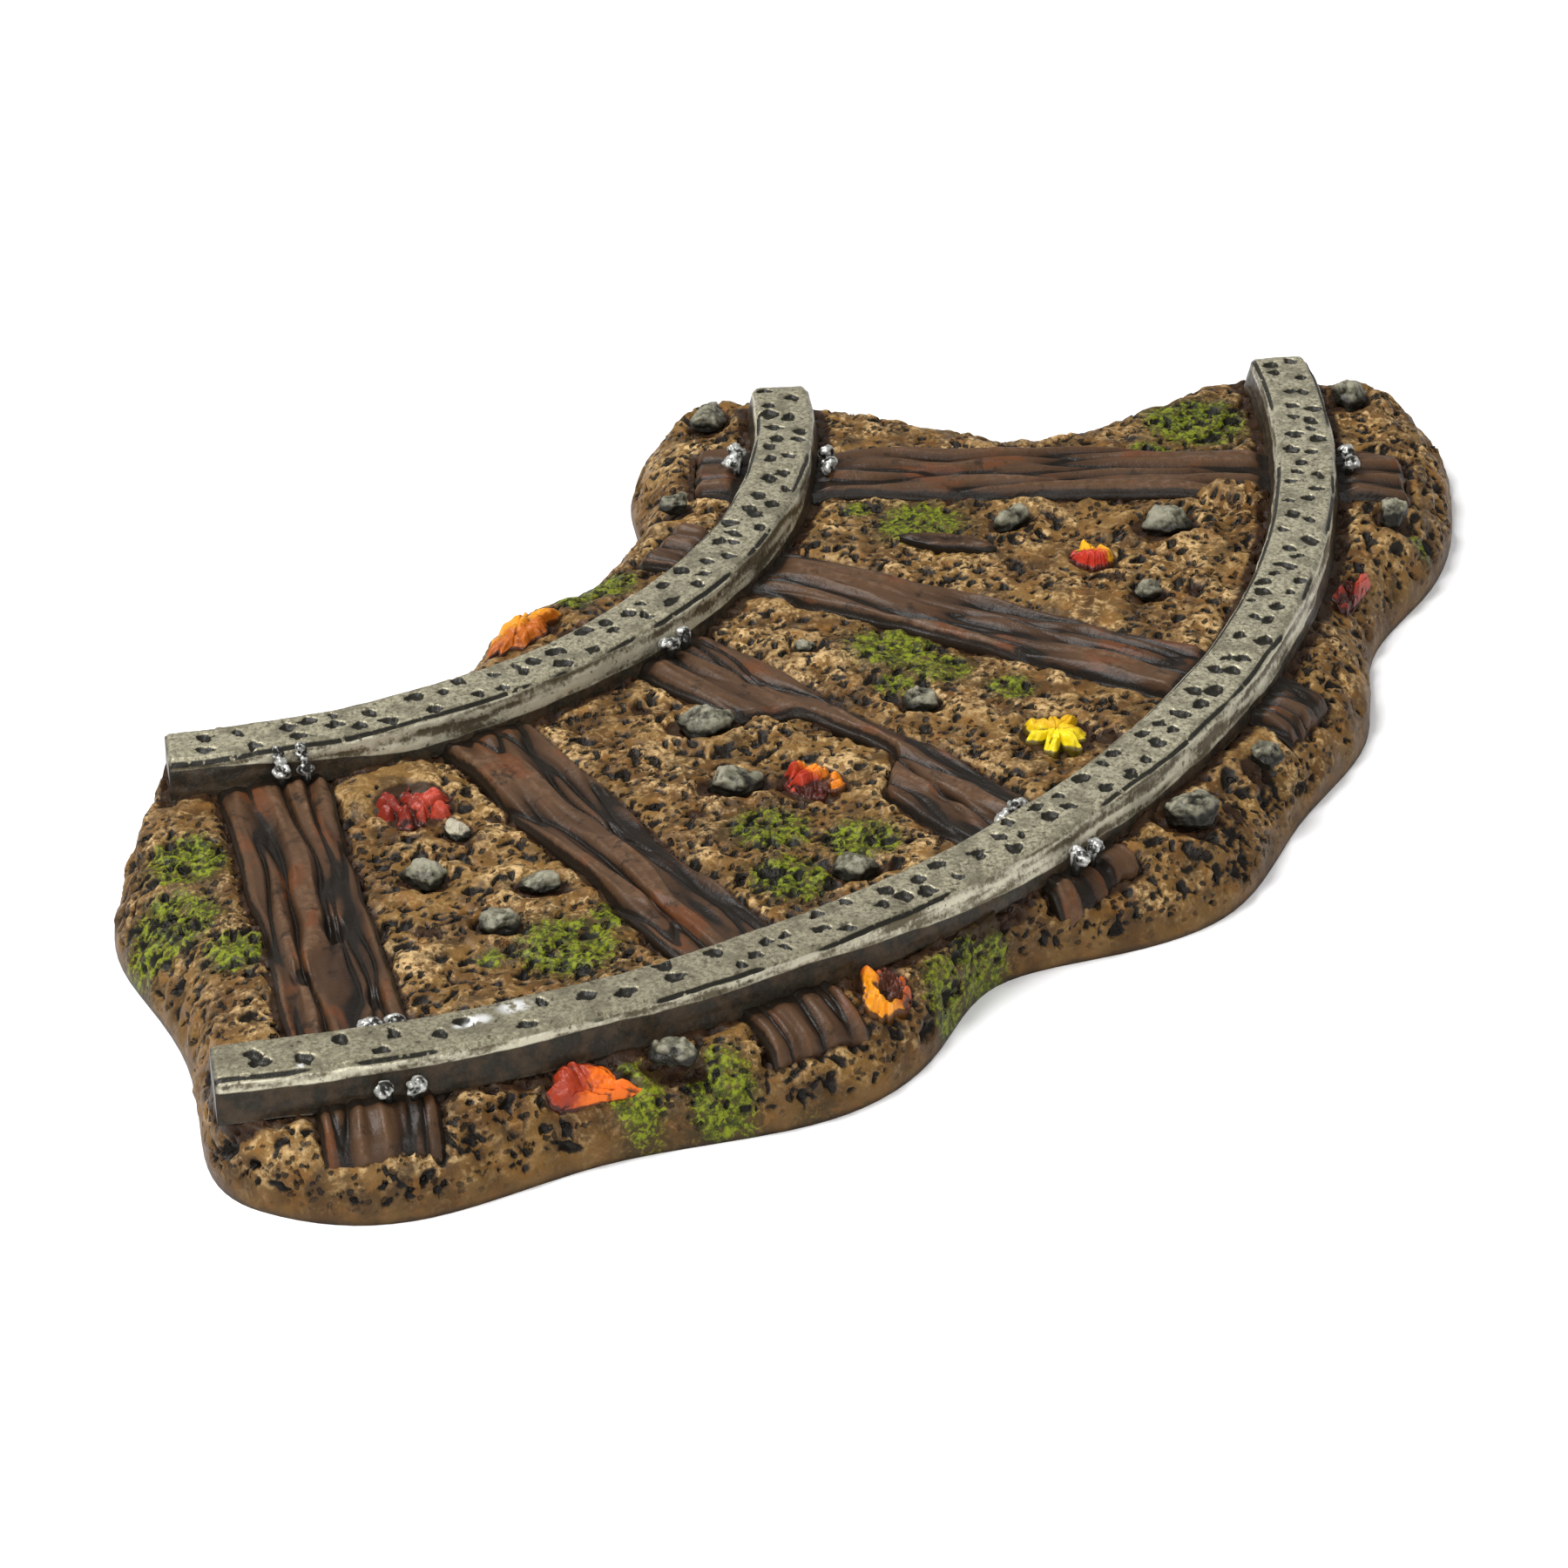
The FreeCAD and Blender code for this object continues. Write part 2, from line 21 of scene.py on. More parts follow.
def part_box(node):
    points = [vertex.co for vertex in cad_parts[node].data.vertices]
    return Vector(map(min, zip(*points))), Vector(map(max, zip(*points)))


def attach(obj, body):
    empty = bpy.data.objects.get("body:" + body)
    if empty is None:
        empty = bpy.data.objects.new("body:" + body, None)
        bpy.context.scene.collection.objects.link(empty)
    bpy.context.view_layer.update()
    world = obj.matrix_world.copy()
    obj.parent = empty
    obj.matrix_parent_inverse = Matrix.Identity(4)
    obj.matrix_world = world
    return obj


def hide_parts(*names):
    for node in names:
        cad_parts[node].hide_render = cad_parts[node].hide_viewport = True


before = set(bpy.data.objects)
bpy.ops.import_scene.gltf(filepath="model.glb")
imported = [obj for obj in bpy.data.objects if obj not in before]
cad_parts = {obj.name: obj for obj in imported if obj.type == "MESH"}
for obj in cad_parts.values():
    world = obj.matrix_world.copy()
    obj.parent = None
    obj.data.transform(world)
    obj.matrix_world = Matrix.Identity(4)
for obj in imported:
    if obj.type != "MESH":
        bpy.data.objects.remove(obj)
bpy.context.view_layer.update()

MM = 0.001
print("nodes in the model:", len(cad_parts))

# %% [markdown]
# ## Measuring the bend
# A railway modeller describes a curve by its centre, its radius and its angle.  Both rails are arcs
# about one centre, so their two bounding boxes are enough to work all of that out: the boxes differ
# in width by the gauge times the sine of half the bend, once for each end.

# %% Centre, radii and angle of the bend
outer_low, outer_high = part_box("rail_outer")
inner_low, inner_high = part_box("rail_inner")
GAUGE = inner_low.y - outer_low.y
spread = (outer_high.x - outer_low.x) - (inner_high.x - inner_low.x)
HALF_TURN = math.asin(spread / (2 * GAUGE))
foot_edge = (outer_high.x - outer_low.x) / (2 * math.sin(HALF_TURN))
CENTRE = Vector(((outer_low.x + outer_high.x) / 2, outer_low.y + foot_edge, 0))
R_OUTER = (foot_edge + (CENTRE.y - outer_high.y) / math.cos(HALF_TURN)) / 2
R_INNER = R_OUTER - GAUGE
HALF_FOOT = foot_edge - R_OUTER
RAIL_BOTTOM, RAIL_TOP = outer_low.z, outer_high.z
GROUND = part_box("ground_base")[1].z
TIE_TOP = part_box("tie_1")[1].z
TIE_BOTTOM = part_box("tie_1")[0].z
print(f"radii {R_INNER / MM:.1f} and {R_OUTER / MM:.1f} mm, half bend {math.degrees(HALF_TURN):.1f} degrees")

# %% [markdown]
# Places on the real track are easiest to name by the track itself: how far across, from the inner
# rail to the outer, and how far round the bend.  These helpers turn such names into points, and find
# the length, width and direction of a piece of the model as it is seen from above.

# %% Helpers that go between plan positions and places on the bend
def track_place(across, around):
    """Across is 0 on the inner rail and 1 on the outer; around is -1 and 1 at the rails' ends."""
    radius = R_INNER + across * GAUGE
    angle = around * HALF_TURN
    return CENTRE + Vector((radius * math.sin(angle), -radius * math.cos(angle), 0))


def bend_of(x, y):
    """Radius and angle of plan positions, as arrays."""
    return np.hypot(x - CENTRE.x, y - CENTRE.y), np.arctan2(x - CENTRE.x, CENTRE.y - y)


def node_points(name):
    """The vertices of a node of the model, as an array."""
    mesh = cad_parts[name].data
    points = np.empty(len(mesh.vertices) * 3)
    mesh.vertices.foreach_get("co", points)
    return points.reshape(-1, 3)


TURN_STEP = 2                                 # degrees between the directions that are tried


def plan_axes(name):
    """Middle, direction, half length and half width of a node seen from above."""
    flat = node_points(name)[:, :2]
    best = None
    for step in range(180 // TURN_STEP):
        turn = math.radians(TURN_STEP * step)
        forward = np.array((math.cos(turn), math.sin(turn)))
        sideways = np.array((-math.sin(turn), math.cos(turn)))
        along = flat @ forward
        across = flat @ sideways
        length, width = np.ptp(along), np.ptp(across)
        if best is None or width < best[1]:
            best = (length, width, turn)
            middle = (along.min() + along.max()) / 2 * forward
            middle = middle + (across.min() + across.max()) / 2 * sideways
    direction = Vector((math.cos(best[2]), math.sin(best[2]), 0))
    middle = Vector((middle[0], middle[1], 0))
    if direction.dot(middle - CENTRE) < 0:
        direction = -direction
    return middle, direction, best[0] / 2, best[1] / 2


halfway = track_place(0.5, 0) / MM
print(f"the middle of the track is at {halfway.x:.1f}, {halfway.y:.1f} mm")


# %% [markdown]
# ## Noise that a sculptor can steer
# Nothing on this object is straight or smooth, so every shape is pushed about by noise.  Blender's
# own noise works a point at a time; these helpers run it over whole arrays of points and give the
# size of its lumps in millimetres, which is how one would judge them on the real thing.

# %% Noise over arrays, and soft steps
def smooth(value, low, high):
    """A soft step from 0 at low to 1 at high."""
    t = np.clip((value - low) / (high - low), 0, 1)
    return t * t * (3 - 2 * t)


def lumps(points, size, octaves=3, seed=0):
    """Fractal noise of about -1 to 1 whose largest lumps are size millimetres across."""
    scale = 1 / (size * MM)
    shift = Vector((17.3 * seed, -9.1 * seed, 4.7 * seed))
    return np.array([noise.fractal(Vector(p) * scale + shift, 0.9, 2.0, octaves) for p in points])


def blobs(x, y, places):
    """A soft spot of 1 at each place (a point and a radius in metres), fading to 0 at its radius."""
    total = np.zeros(len(x))
    for place, radius in places:
        distance = np.hypot(x - place.x, y - place.y)
        total = np.maximum(total, smooth(distance, radius, 0.35 * radius))
    return total


sample = lumps([(index * MM, 0, 0) for index in range(40)], 5)
print(f"along 40 mm, lumps of 5 mm run from {sample.min():.2f} to {sample.max():.2f}")


# %% [markdown]
# ## Paint
# The real section is painted in layers: a base colour, a black wash that stays in the hollows, and a
# dry brush of a paler colour that only catches the high spots.  The materials are built the same
# way.  Masks such as "pit" and "moss" are worked out while the shape is sculpted and stored on the
# mesh, and fine noise breaks up their edges.

# %% A small palette for building node materials
class Paint:
    """A material in the making.  Each method adds a node and returns the socket that it gives."""

    def __init__(self, name):
        self.material = bpy.data.materials.new(name)
        self.material.use_nodes = True
        self.tree = self.material.node_tree
        self.surface = self.tree.nodes["Principled BSDF"]
        self.place = self.node("ShaderNodeTexCoord").outputs["Object"]

    def node(self, kind, inputs=None, **settings):
        made = self.tree.nodes.new(kind)
        for key, value in settings.items():
            setattr(made, key, value)
        for key, value in (inputs or {}).items():
            if isinstance(value, bpy.types.NodeSocket):
                self.tree.links.new(value, made.inputs[key])
            else:
                made.inputs[key].default_value = value
        return made

    def mask(self, name):
        """A mask that was stored on the mesh."""
        return self.node("ShaderNodeAttribute", attribute_name=name).outputs["Fac"]

    def noise(self, size, detail=3.0, rough=0.55, distortion=0.0, place=None):
        """Noise of 0 to 1 with lumps of a size in millimetres."""
        inputs = {"Vector": place or self.place, "Scale": 1 / (size * MM), "Detail": detail,
                  "Roughness": rough, "Distortion": distortion}
        return self.node("ShaderNodeTexNoise", inputs).outputs["Fac"]

    def warped(self, size, amount, stretch=(1, 1, 1)):
        """Coordinates pushed about by noise, so that patterns drawn on them look hand-made."""
        inputs = {"Vector": self.place, "Scale": 1 / (size * MM), "Detail": 2.0}
        shove = self.node("ShaderNodeTexNoise", inputs).outputs["Color"]
        centred = self.vector_math("SUBTRACT", {0: shove, 1: (0.5, 0.5, 0.5)})
        scaled = self.vector_math("SCALE", {0: centred, "Scale": amount * MM})
        moved = self.vector_math("ADD", {0: self.place, 1: scaled})
        return self.node("ShaderNodeMapping", {"Vector": moved, "Scale": stretch}).outputs[0]

    def vector_math(self, operation, inputs):
        return self.node("ShaderNodeVectorMath", inputs, operation=operation).outputs[0]

    def holes(self, size, low, high, place=None):
        """Scattered holes, one to a cell of a size in millimetres: 1 inside, 0 outside."""
        inputs = {"Vector": place or self.place, "Scale": 1 / (size * MM), "Randomness": 1.0}
        cell = self.node("ShaderNodeTexVoronoi", inputs)
        split = self.node("ShaderNodeSeparateColor", {"Color": cell.outputs["Color"]})
        chance = self.step(split.outputs[0], 0.3, 0.36)
        return self.times(self.step(cell.outputs["Distance"], high, low), chance)

    def step(self, value, low, high):
        """A soft step from 0 at low to 1 at high, or the other way when low is the larger."""
        if low > high:
            rising = self.step(value, high, low)
            return self.math("SUBTRACT", 1.0, rising)
        inputs = {"Value": value, "From Min": low, "From Max": high}
        return self.node("ShaderNodeMapRange", inputs, interpolation_type="SMOOTHSTEP").outputs[0]

    def math(self, operation, first, second=0.0):
        return self.node("ShaderNodeMath", {0: first, 1: second}, operation=operation).outputs[0]

    def times(self, first, second):
        return self.math("MULTIPLY", first, second)

    def most(self, first, second):
        return self.math("MAXIMUM", first, second)

    def plus(self, first, second):
        return self.math("ADD", first, second)

    def layer(self, amount, under, over):
        """Paint a colour over another, by an amount of 0 to 1."""
        under = under if isinstance(under, bpy.types.NodeSocket) else (*under, 1)
        over = over if isinstance(over, bpy.types.NodeSocket) else (*over, 1)
        mix = self.node("ShaderNodeMix", data_type="RGBA", clamp_factor=True)
        for socket, value in ((mix.inputs[0], amount), (mix.inputs[6], under), (mix.inputs[7], over)):
            if isinstance(value, bpy.types.NodeSocket):
                self.tree.links.new(value, socket)
            else:
                socket.default_value = value
        return mix.outputs[2]

    def finish(self, colour, roughness, height=None, depth=0.1, gloss=0.3, metallic=None):
        """Join colour, roughness and a height in 0 to 1 whose full range is depth millimetres."""
        for key, value in (("Base Color", colour), ("Roughness", roughness), ("Metallic", metallic)):
            if isinstance(value, bpy.types.NodeSocket):
                self.tree.links.new(value, self.surface.inputs[key])
            elif value is not None:
                self.surface.inputs[key].default_value = value
        self.surface.inputs["Specular IOR Level"].default_value = gloss
        if height is not None:
            bump = self.node("ShaderNodeBump", {"Height": height, "Distance": depth * MM, "Strength": 1.0})
            self.tree.links.new(bump.outputs[0], self.surface.inputs["Normal"])
        return self.material


print("ways to paint:", [way for way in vars(Paint) if not way.startswith("_")])

# %% [markdown]
# ## From sculpted points to a finished piece
# Each piece ends the same way: its masks are stored as point attributes, its faces are shaded
# smooth, it is hung under the root body, and the node of the model that it stands for is hidden.
#
# Most pieces also start the same way, from a slab: a grid of square faces with a rim drawn down from
# its edge and a floor across the bottom.  Bent, pressed or stretched, it becomes a rail, a plank, a
# leaf or the bed of earth, and it stays closed all the while.

# %% A slab to sculpt from
def slab(columns, rows, rings):
    """A closed unit slab; each point's u and v run 0 to 1 over its face and t 0 to 1 down its edge."""
    bm = bmesh.new()
    bmesh.ops.create_grid(bm, x_segments=columns, y_segments=rows, size=0.5)
    border = [edge for edge in bm.edges if edge.is_boundary]
    for ring in range(rings):
        made = bmesh.ops.extrude_edge_only(bm, edges=border)["geom"]
        for vert in (g for g in made if isinstance(g, bmesh.types.BMVert)):
            vert.co.z = -(ring + 1) / rings
        border = [g for g in made if isinstance(g, bmesh.types.BMEdge) and g.is_boundary]
    bmesh.ops.holes_fill(bm, edges=border, sides=0)
    bmesh.ops.recalc_face_normals(bm, faces=bm.faces)
    u, v, t = np.array([vert.co[:] for vert in bm.verts]).T
    return bm, u + 0.5, v + 0.5, -t


small_slab, _, _, _ = slab(2, 2, 1)
print("the smallest slab has", len(small_slab.verts), "points and", len(small_slab.faces), "faces")
small_slab.free()


# %% The helpers that finish a piece
def as_mesh(name, bm, points=None):
    """Turn a bmesh into a mesh, moving its vertices to new places when they are given."""
    mesh = bpy.data.meshes.new(name)
    bm.to_mesh(mesh)
    bm.free()
    if points is not None:
        mesh.vertices.foreach_set("co", np.ascontiguousarray(points, dtype=np.float32).ravel())
        mesh.update()
    mesh.shade_smooth()
    return mesh


def piece(name, mesh, material, nodes, masks=None):
    """Make an object of a mesh, give it paint and masks, and tie it to the model."""
    for mask, values in (masks or {}).items():
        layer = mesh.attributes.new(mask, "FLOAT", "POINT")
        layer.data.foreach_set("value", np.ascontiguousarray(values, dtype=np.float32))
    mesh.materials.append(material)
    made = bpy.data.objects.new(name, mesh)
    bpy.context.scene.collection.objects.link(made)
    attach(made, "root")
    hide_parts(*nodes)
    triangles = sum(len(face.vertices) - 2 for face in mesh.polygons)
    print(f"{name}: {triangles} triangles")
    return made


print("each piece stands for one of the model's", len(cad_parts), "nodes")


# %% [markdown]
# ## Where the ties lie
# A tie is a hewn plank.  From above it is a long bar whose edges wander, and one of them is broken:
# a bite is missing from its side.  The ground needs the same edges to leave room for the plank, so
# they are worked out once, here, and used by both.

# %% The plan of every tie
TIE_NAMES = [f"tie_{number}" for number in range(1, 6)]
TIES = {name: plan_axes(name) for name in TIE_NAMES}
TIE_BITES = {"tie_3": (-1, -8.5, 8.5, 0.62)}     # side, from and to along the tie in mm, share of width
BITE_RAMP = 3.4 * MM                          # over how much length a bite sets in
EDGE_WANDER = 0.45 * MM * 1.6


def tie_coordinates(name, x, y):
    """Distance along and across a tie from its middle, for arrays of plan positions."""
    middle, direction, half_length, half_width = TIES[name]
    dx, dy = x - middle.x, y - middle.y
    return dx * direction.x + dy * direction.y, dy * direction.x - dx * direction.y


def tie_edges(name, along):
    """Where a tie's two long edges are at places along it."""
    half_width = TIES[name][3]
    seed = TIE_NAMES.index(name)
    edges = []
    for side in (-1, 1):
        points = [(a, side * 3.1 * MM, seed * 0.02) for a in along]
        edge = side * (half_width - 0.1 * MM) + EDGE_WANDER * lumps(points, 14, 2, seed + 5 * side)
        if name in TIE_BITES and TIE_BITES[name][0] == side:
            start, end, share = TIE_BITES[name][1:]
            bite = smooth(along, start * MM - BITE_RAMP, start * MM + BITE_RAMP)
            bite = bite * smooth(along, end * MM + BITE_RAMP, end * MM - BITE_RAMP)
            edge = edge - side * bite * share * 2 * half_width
        edges.append(edge)
    return edges


def tie_margin(name, x, y):
    """How far plan positions are outside a tie's edge; negative inside."""
    along, across = tie_coordinates(name, x, y)
    reach = np.linspace(-1.1, 1.1, 90) * TIES[name][2]
    low, high = tie_edges(name, reach)
    low, high = np.interp(along, reach, low), np.interp(along, reach, high)
    beside = np.maximum(low - across, across - high)
    beyond = np.abs(along) - TIES[name][2]
    return np.maximum(beside, beyond)


for name, (middle, direction, half_length, half_width) in TIES.items():
    print(f"{name}: {2 * half_length / MM:.1f} by {2 * half_width / MM:.1f} mm")

# %% [markdown]
# ## The outline of the ground
# The base has a wavy outline that no simple shape gives.  Slicing the model's own base with a plane
# gives it exactly: once at the foot, and once just below the ties, where the bank has begun to lean
# in.  The lean between the two cuts tells how far in the bank's rim lies.

# %% Slice the base and order the cut into a loop
def slice_loop(name, height):
    """The longest closed loop that a level plane cuts from a node, as an array of points."""
    bm = bmesh.new()
    bm.from_mesh(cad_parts[name].data)
    bmesh.ops.remove_doubles(bm, verts=bm.verts, dist=1e-6)
    geometry = bm.verts[:] + bm.edges[:] + bm.faces[:]
    cut = bmesh.ops.bisect_plane(bm, geom=geometry, dist=1e-8, plane_co=(0, 0, height), plane_no=(0, 0, 1))
    edges = {g for g in cut["geom_cut"] if isinstance(g, bmesh.types.BMEdge)}
    loops = []
    while edges:
        edge = edges.pop()
        start, vert = edge.verts
        loop = [start, vert]
        while vert is not start:
            following = [e for e in vert.link_edges if e in edges]
            if not following:
                break
            edges.discard(following[0])
            vert = following[0].other_vert(vert)
            loop.append(vert)
        loops.append([(v.co.x, v.co.y) for v in loop])
    bm.free()
    longest = np.array(max(loops, key=len))
    turning = np.sum(longest[:-1, 0] * longest[1:, 1] - longest[1:, 0] * longest[:-1, 1])
    return longest if turning > 0 else longest[::-1]


def resample(line, count):
    """So many points at equal distances along a line of points."""
    gaps = np.hypot(*np.diff(line, axis=0).T)
    run = np.concatenate(([0], np.cumsum(gaps)))
    at = np.linspace(0, run[-1], count)
    return np.stack((np.interp(at, run, line[:, 0]), np.interp(at, run, line[:, 1])), axis=1)


FOOT_CUT, LEAN_CUT = 0.05 * MM, 4.1 * MM
WALL_STEPS = 18
RIM_DROP = 1.5 * MM                          # how far the ground has fallen at the rim
SHOULDER = 4.6 * MM                          # the model's bank changes slope here
RIM_LEAN = 2.8                               # rim inset over shoulder inset
foot_line = slice_loop("ground_base", FOOT_CUT)
lean_line = resample(slice_loop("ground_base", LEAN_CUT), 4000)
print("outline points:", len(foot_line))

# %% [markdown]
# ## A grid that fits the outline
# To cover the banana-shaped top with even faces, the outline is split at its four corners into the
# outer bank, the right end, the inner bank and the left end.  A plain square grid is then stretched
# between those four sides, as a tailor's pattern would be: every grid point is a blend of the points
# facing it on the sides.

# %% Split the outline at its corners
QUALITY = 1.0
COLUMNS, ROWS = int(760 * QUALITY), int(380 * QUALITY)


def corner_index(line, outward, end):
    """The outline point furthest out in a corner's diagonal direction."""
    radius, angle = bend_of(line[:, 0], line[:, 1])
    past = end * (angle - end * HALF_TURN) * radius
    beyond = outward * radius
    return int(np.argmax(np.minimum(past, 8 * MM) + np.minimum(beyond - beyond.mean(), 60 * MM)
                         - 10 * (end * angle < 0)))


dense = resample(foot_line, 6001)[:-1]
corners = [corner_index(dense, outward, end) for outward, end in ((1, -1), (1, 1), (-1, 1), (-1, -1))]


def side(first, second, count):
    """The outline from one corner to the next, at so many points."""
    stop = second if second > first else second + len(dense)
    return resample(dense[np.arange(first, stop + 1) % len(dense)], count)


outer_side = side(corners[0], corners[1], COLUMNS + 1)
right_side = side(corners[1], corners[2], ROWS + 1)
inner_side = side(corners[2], corners[3], COLUMNS + 1)
left_side = side(corners[3], corners[0], ROWS + 1)
foot_loop = np.concatenate((outer_side[:-1], right_side[:-1], inner_side[:-1], left_side[:-1]))
print("corners at", [tuple((dense[c] / MM).round(0)) for c in corners])

# %% [markdown]
# The bank of the casting leans in from its foot to its rim, more in some places than in others.  The
# two cuts show how much: the way from a point of the foot to the nearest point of the upper cut,
# carried on to the shoulder and smoothed along the edge, leads to the rim.

# %% Find the rim of the bank for every point of the foot
lean_tree = kdtree.KDTree(len(lean_line))
for index, point in enumerate(lean_line):
    lean_tree.insert((point[0], point[1], 0), index)
lean_tree.balance()
nearest = np.array([lean_tree.find((p[0], p[1], 0))[0][:2] for p in foot_loop])
lean = (nearest - foot_loop) * (SHOULDER / (LEAN_CUT - FOOT_CUT)) * RIM_LEAN
for _ in range(int(30 * QUALITY)):
    lean = (np.roll(lean, 1, axis=0) + lean + np.roll(lean, -1, axis=0)) / 3
rim_loop = foot_loop + lean
outwards = -lean / np.hypot(*lean.T)[:, None]
print(f"the bank leans in by {np.hypot(*lean.T).min() / MM:.1f} to {np.hypot(*lean.T).max() / MM:.1f} mm")

# %% [markdown]
# Now the pattern is cut.  A blend between facing sides, less the corners that it counts twice, gives
# the place of every grid point, which a maker of ship hulls would call a Coons patch.  The rings
# round the slab's edge run down from the rim to the foot and become the bank.

# %% Stretch a slab between the four sides, and let its edge be the bank
cuts = np.cumsum([0, COLUMNS, ROWS, COLUMNS, ROWS])
rim_ring = np.vstack((rim_loop, rim_loop[:1]))
rim_outer = rim_ring[cuts[0]:cuts[1] + 1]
rim_right = rim_ring[cuts[1]:cuts[2] + 1]
rim_inner = rim_ring[cuts[2]:cuts[3] + 1][::-1]
rim_left = rim_ring[cuts[3]:cuts[4] + 1][::-1]
p = np.linspace(0, 1, COLUMNS + 1)[:, None, None]
q = np.linspace(0, 1, ROWS + 1)[None, :, None]
patch = (1 - q) * rim_outer[:, None] + q * rim_inner[:, None]
patch = patch + (1 - p) * rim_left[None, :] + p * rim_right[None, :]
patch = patch - (1 - p) * ((1 - q) * rim_outer[0] + q * rim_inner[0])
patch = patch - p * ((1 - q) * rim_outer[-1] + q * rim_inner[-1])

ground_bm, u, v, t = slab(COLUMNS, ROWS, WALL_STEPS)
column, row = np.rint(u * COLUMNS).astype(int), np.rint(v * ROWS).astype(int)
plan = patch[column, row]
rim_index = np.where(row == 0, column, 0)
rim_index = np.where((column == COLUMNS) & (row > 0), cuts[1] + row, rim_index)
rim_index = np.where((row == ROWS) & (column < COLUMNS), cuts[2] + COLUMNS - column, rim_index)
rim_index = np.where((column == 0) & (row > 0) & (row < ROWS), cuts[3] + ROWS - row, rim_index)
wall = t > 0
share = 1 - t
rim_index = rim_index % len(foot_loop)
BANK_CURVE = 2.2                              # above 1 the bank is steep at its foot
plan[wall] = (foot_loop[rim_index] + lean[rim_index] * share[:, None] ** BANK_CURVE)[wall]
print(f"the slab has {len(plan)} points, {wall.sum()} of them in the bank")

# %% [markdown]
# The top of the casting isn't level to the edge: it rounds over towards the rim.  Each point also
# needs a direction to be pushed in when the pits are made: straight up on the top, outwards on the
# bank, and something between where the two meet.

# %% The ground falls away towards its rim
ROUND_OVER = 2.2 * MM                         # how far in from the rim the top begins to fall
rim_tree = kdtree.KDTree(len(rim_loop))
for index, spot in enumerate(rim_loop):
    rim_tree.insert((spot[0], spot[1], 0), index)
rim_tree.balance()
rim_drop = RIM_DROP * np.clip(np.hypot(*lean.T) / (4 * MM), 0.3, 1)
nearest_rim = [rim_tree.find((spot[0], spot[1], 0))[1:] for spot in plan]
near_index = np.array([index for index, _ in nearest_rim])
rim_distance = np.where(wall, 0, np.array([distance for _, distance in nearest_rim]))
near_index[wall] = rim_index[wall]
ground_height = GROUND - rim_drop[near_index] * np.exp(-rim_distance / ROUND_OVER)
ground_shape = np.column_stack((plan, ground_height))
ground_shape[wall, 2] = ground_shape[wall, 2] * share[wall]
steepness = np.where(wall, 1 - share ** 1.5, 0)
push = np.zeros_like(ground_shape)
push[:, 2] = 1 - steepness
lean_out = np.where(wall, 0.7 + 0.3 * steepness, 0.7 * np.exp(-rim_distance / (1.5 * MM)))
push[:, :2] = outwards[near_index] * lean_out[:, None]
push = push / np.linalg.norm(push, axis=1)[:, None]
print(f"the rim lies {rim_drop.min() / MM:.2f} to {rim_drop.max() / MM:.2f} mm below the top")

# %% [markdown]
# ## Hollows and drifts
# Everything that lies on the bed sits in a hollow painted black, partly as wash and partly as painted
# shade: there is a dark gutter along each rail, a groove along each tie and a ring round each stone.  The
# distance to each of those pieces, measured in plan, drives both the shape and the paint.

# %% Distances from the things that lie on the ground
STONE_NAMES = sorted(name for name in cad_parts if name.startswith("stone_"))
LEAF_NAMES = sorted(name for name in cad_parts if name.startswith("leaf_"))
PLAN_AXES = {name: plan_axes(name) for name in STONE_NAMES + LEAF_NAMES + ["twig"]}


def oval_margin(name, x, y, grow=0.0):
    """About how far plan positions are outside the oval that a node covers."""
    middle, direction, half_length, half_width = PLAN_AXES[name]
    dx, dy = x - middle.x, y - middle.y
    along = (dx * direction.x + dy * direction.y) / (half_length + grow)
    across = (dy * direction.x - dx * direction.y) / (half_width + grow)
    return (np.hypot(along, across) - 1) * (half_width + grow)


def rail_margin(x, y):
    """How far plan positions are outside the foot of the nearer rail."""
    radius, angle = bend_of(x, y)
    beside = np.minimum(np.abs(radius - R_INNER), np.abs(radius - R_OUTER)) - HALF_FOOT
    return np.maximum(beside, (np.abs(angle) - HALF_TURN) * radius)


print(f"{len(STONE_NAMES)} stones and {len(LEAF_NAMES)} leaves lie on the ground")

# %% [markdown]
# Some of the ground has a character of its own: smooth mounds without pits, soil that has drifted
# over the ties, patches of moss and a few deep black hollows.  Each is a soft round spot, and each
# is placed by its share of the way across the track and round the bend.

# %% Soil drifts, smooth mounds and moss, placed one by one
MOSS_SPREAD = 1.55                            # how much wider than its heart a patch fades out
SMOOTH_MOUNDS = [          # across, around, radius in mm, height in mm
    (0.17, -0.655, 7.5, 0.9), (0.66, 0.38, 6.0, 0.3), (1.22, 0.38, 5.0, 0.3), (0.72, -0.9, 5.0, 0.4),
    (1.2, -0.66, 5.0, 0.3), (0.3, -0.16, 6.0, 0.2), (0.1, 0.23, 5.0, 0.3), (0.55, 0.5, 4.0, 0.3)]
DRIFTS = [                 # soil that has been spread over parts of the ties
    (0.86, 0.735, 6.5, 2.0), (0.97, 0.76, 5.0, 1.6), (0.43, -0.125, 3.4, 0.4)]
MOSS = [
    (0.28, -0.99, 5), (0.44, -1.02, 5.5), (0.57, -0.95, 4), (0.73, -0.69, 1.8), (0.75, -0.61, 6),
    (0.70, -0.54, 2.6), (0.63, -0.29, 5), (0.77, -0.34, 5), (0.76, -0.23, 4.7), (1.09, -0.26, 4.7),
    (1.14, -0.32, 3.5), (0.40, 0.17, 6), (0.51, 0.15, 4), (0.65, 0.15, 3), (0.47, 0.08, 2.6),
    (0.29, 0.56, 6), (0.16, 0.59, 2), (0.81, 0.90, 7.5), (0.71, 0.81, 3.4), (1.27, 0.59, 3),
    (1.22, 0.66, 1.5), (-0.19, 0.16, 4), (-0.21, 0.06, 2.6), (1.17, -0.57, 4), (1.29, -0.50, 4),
    (1.26, -0.62, 2.6), (1.13, -0.64, 3.4)]
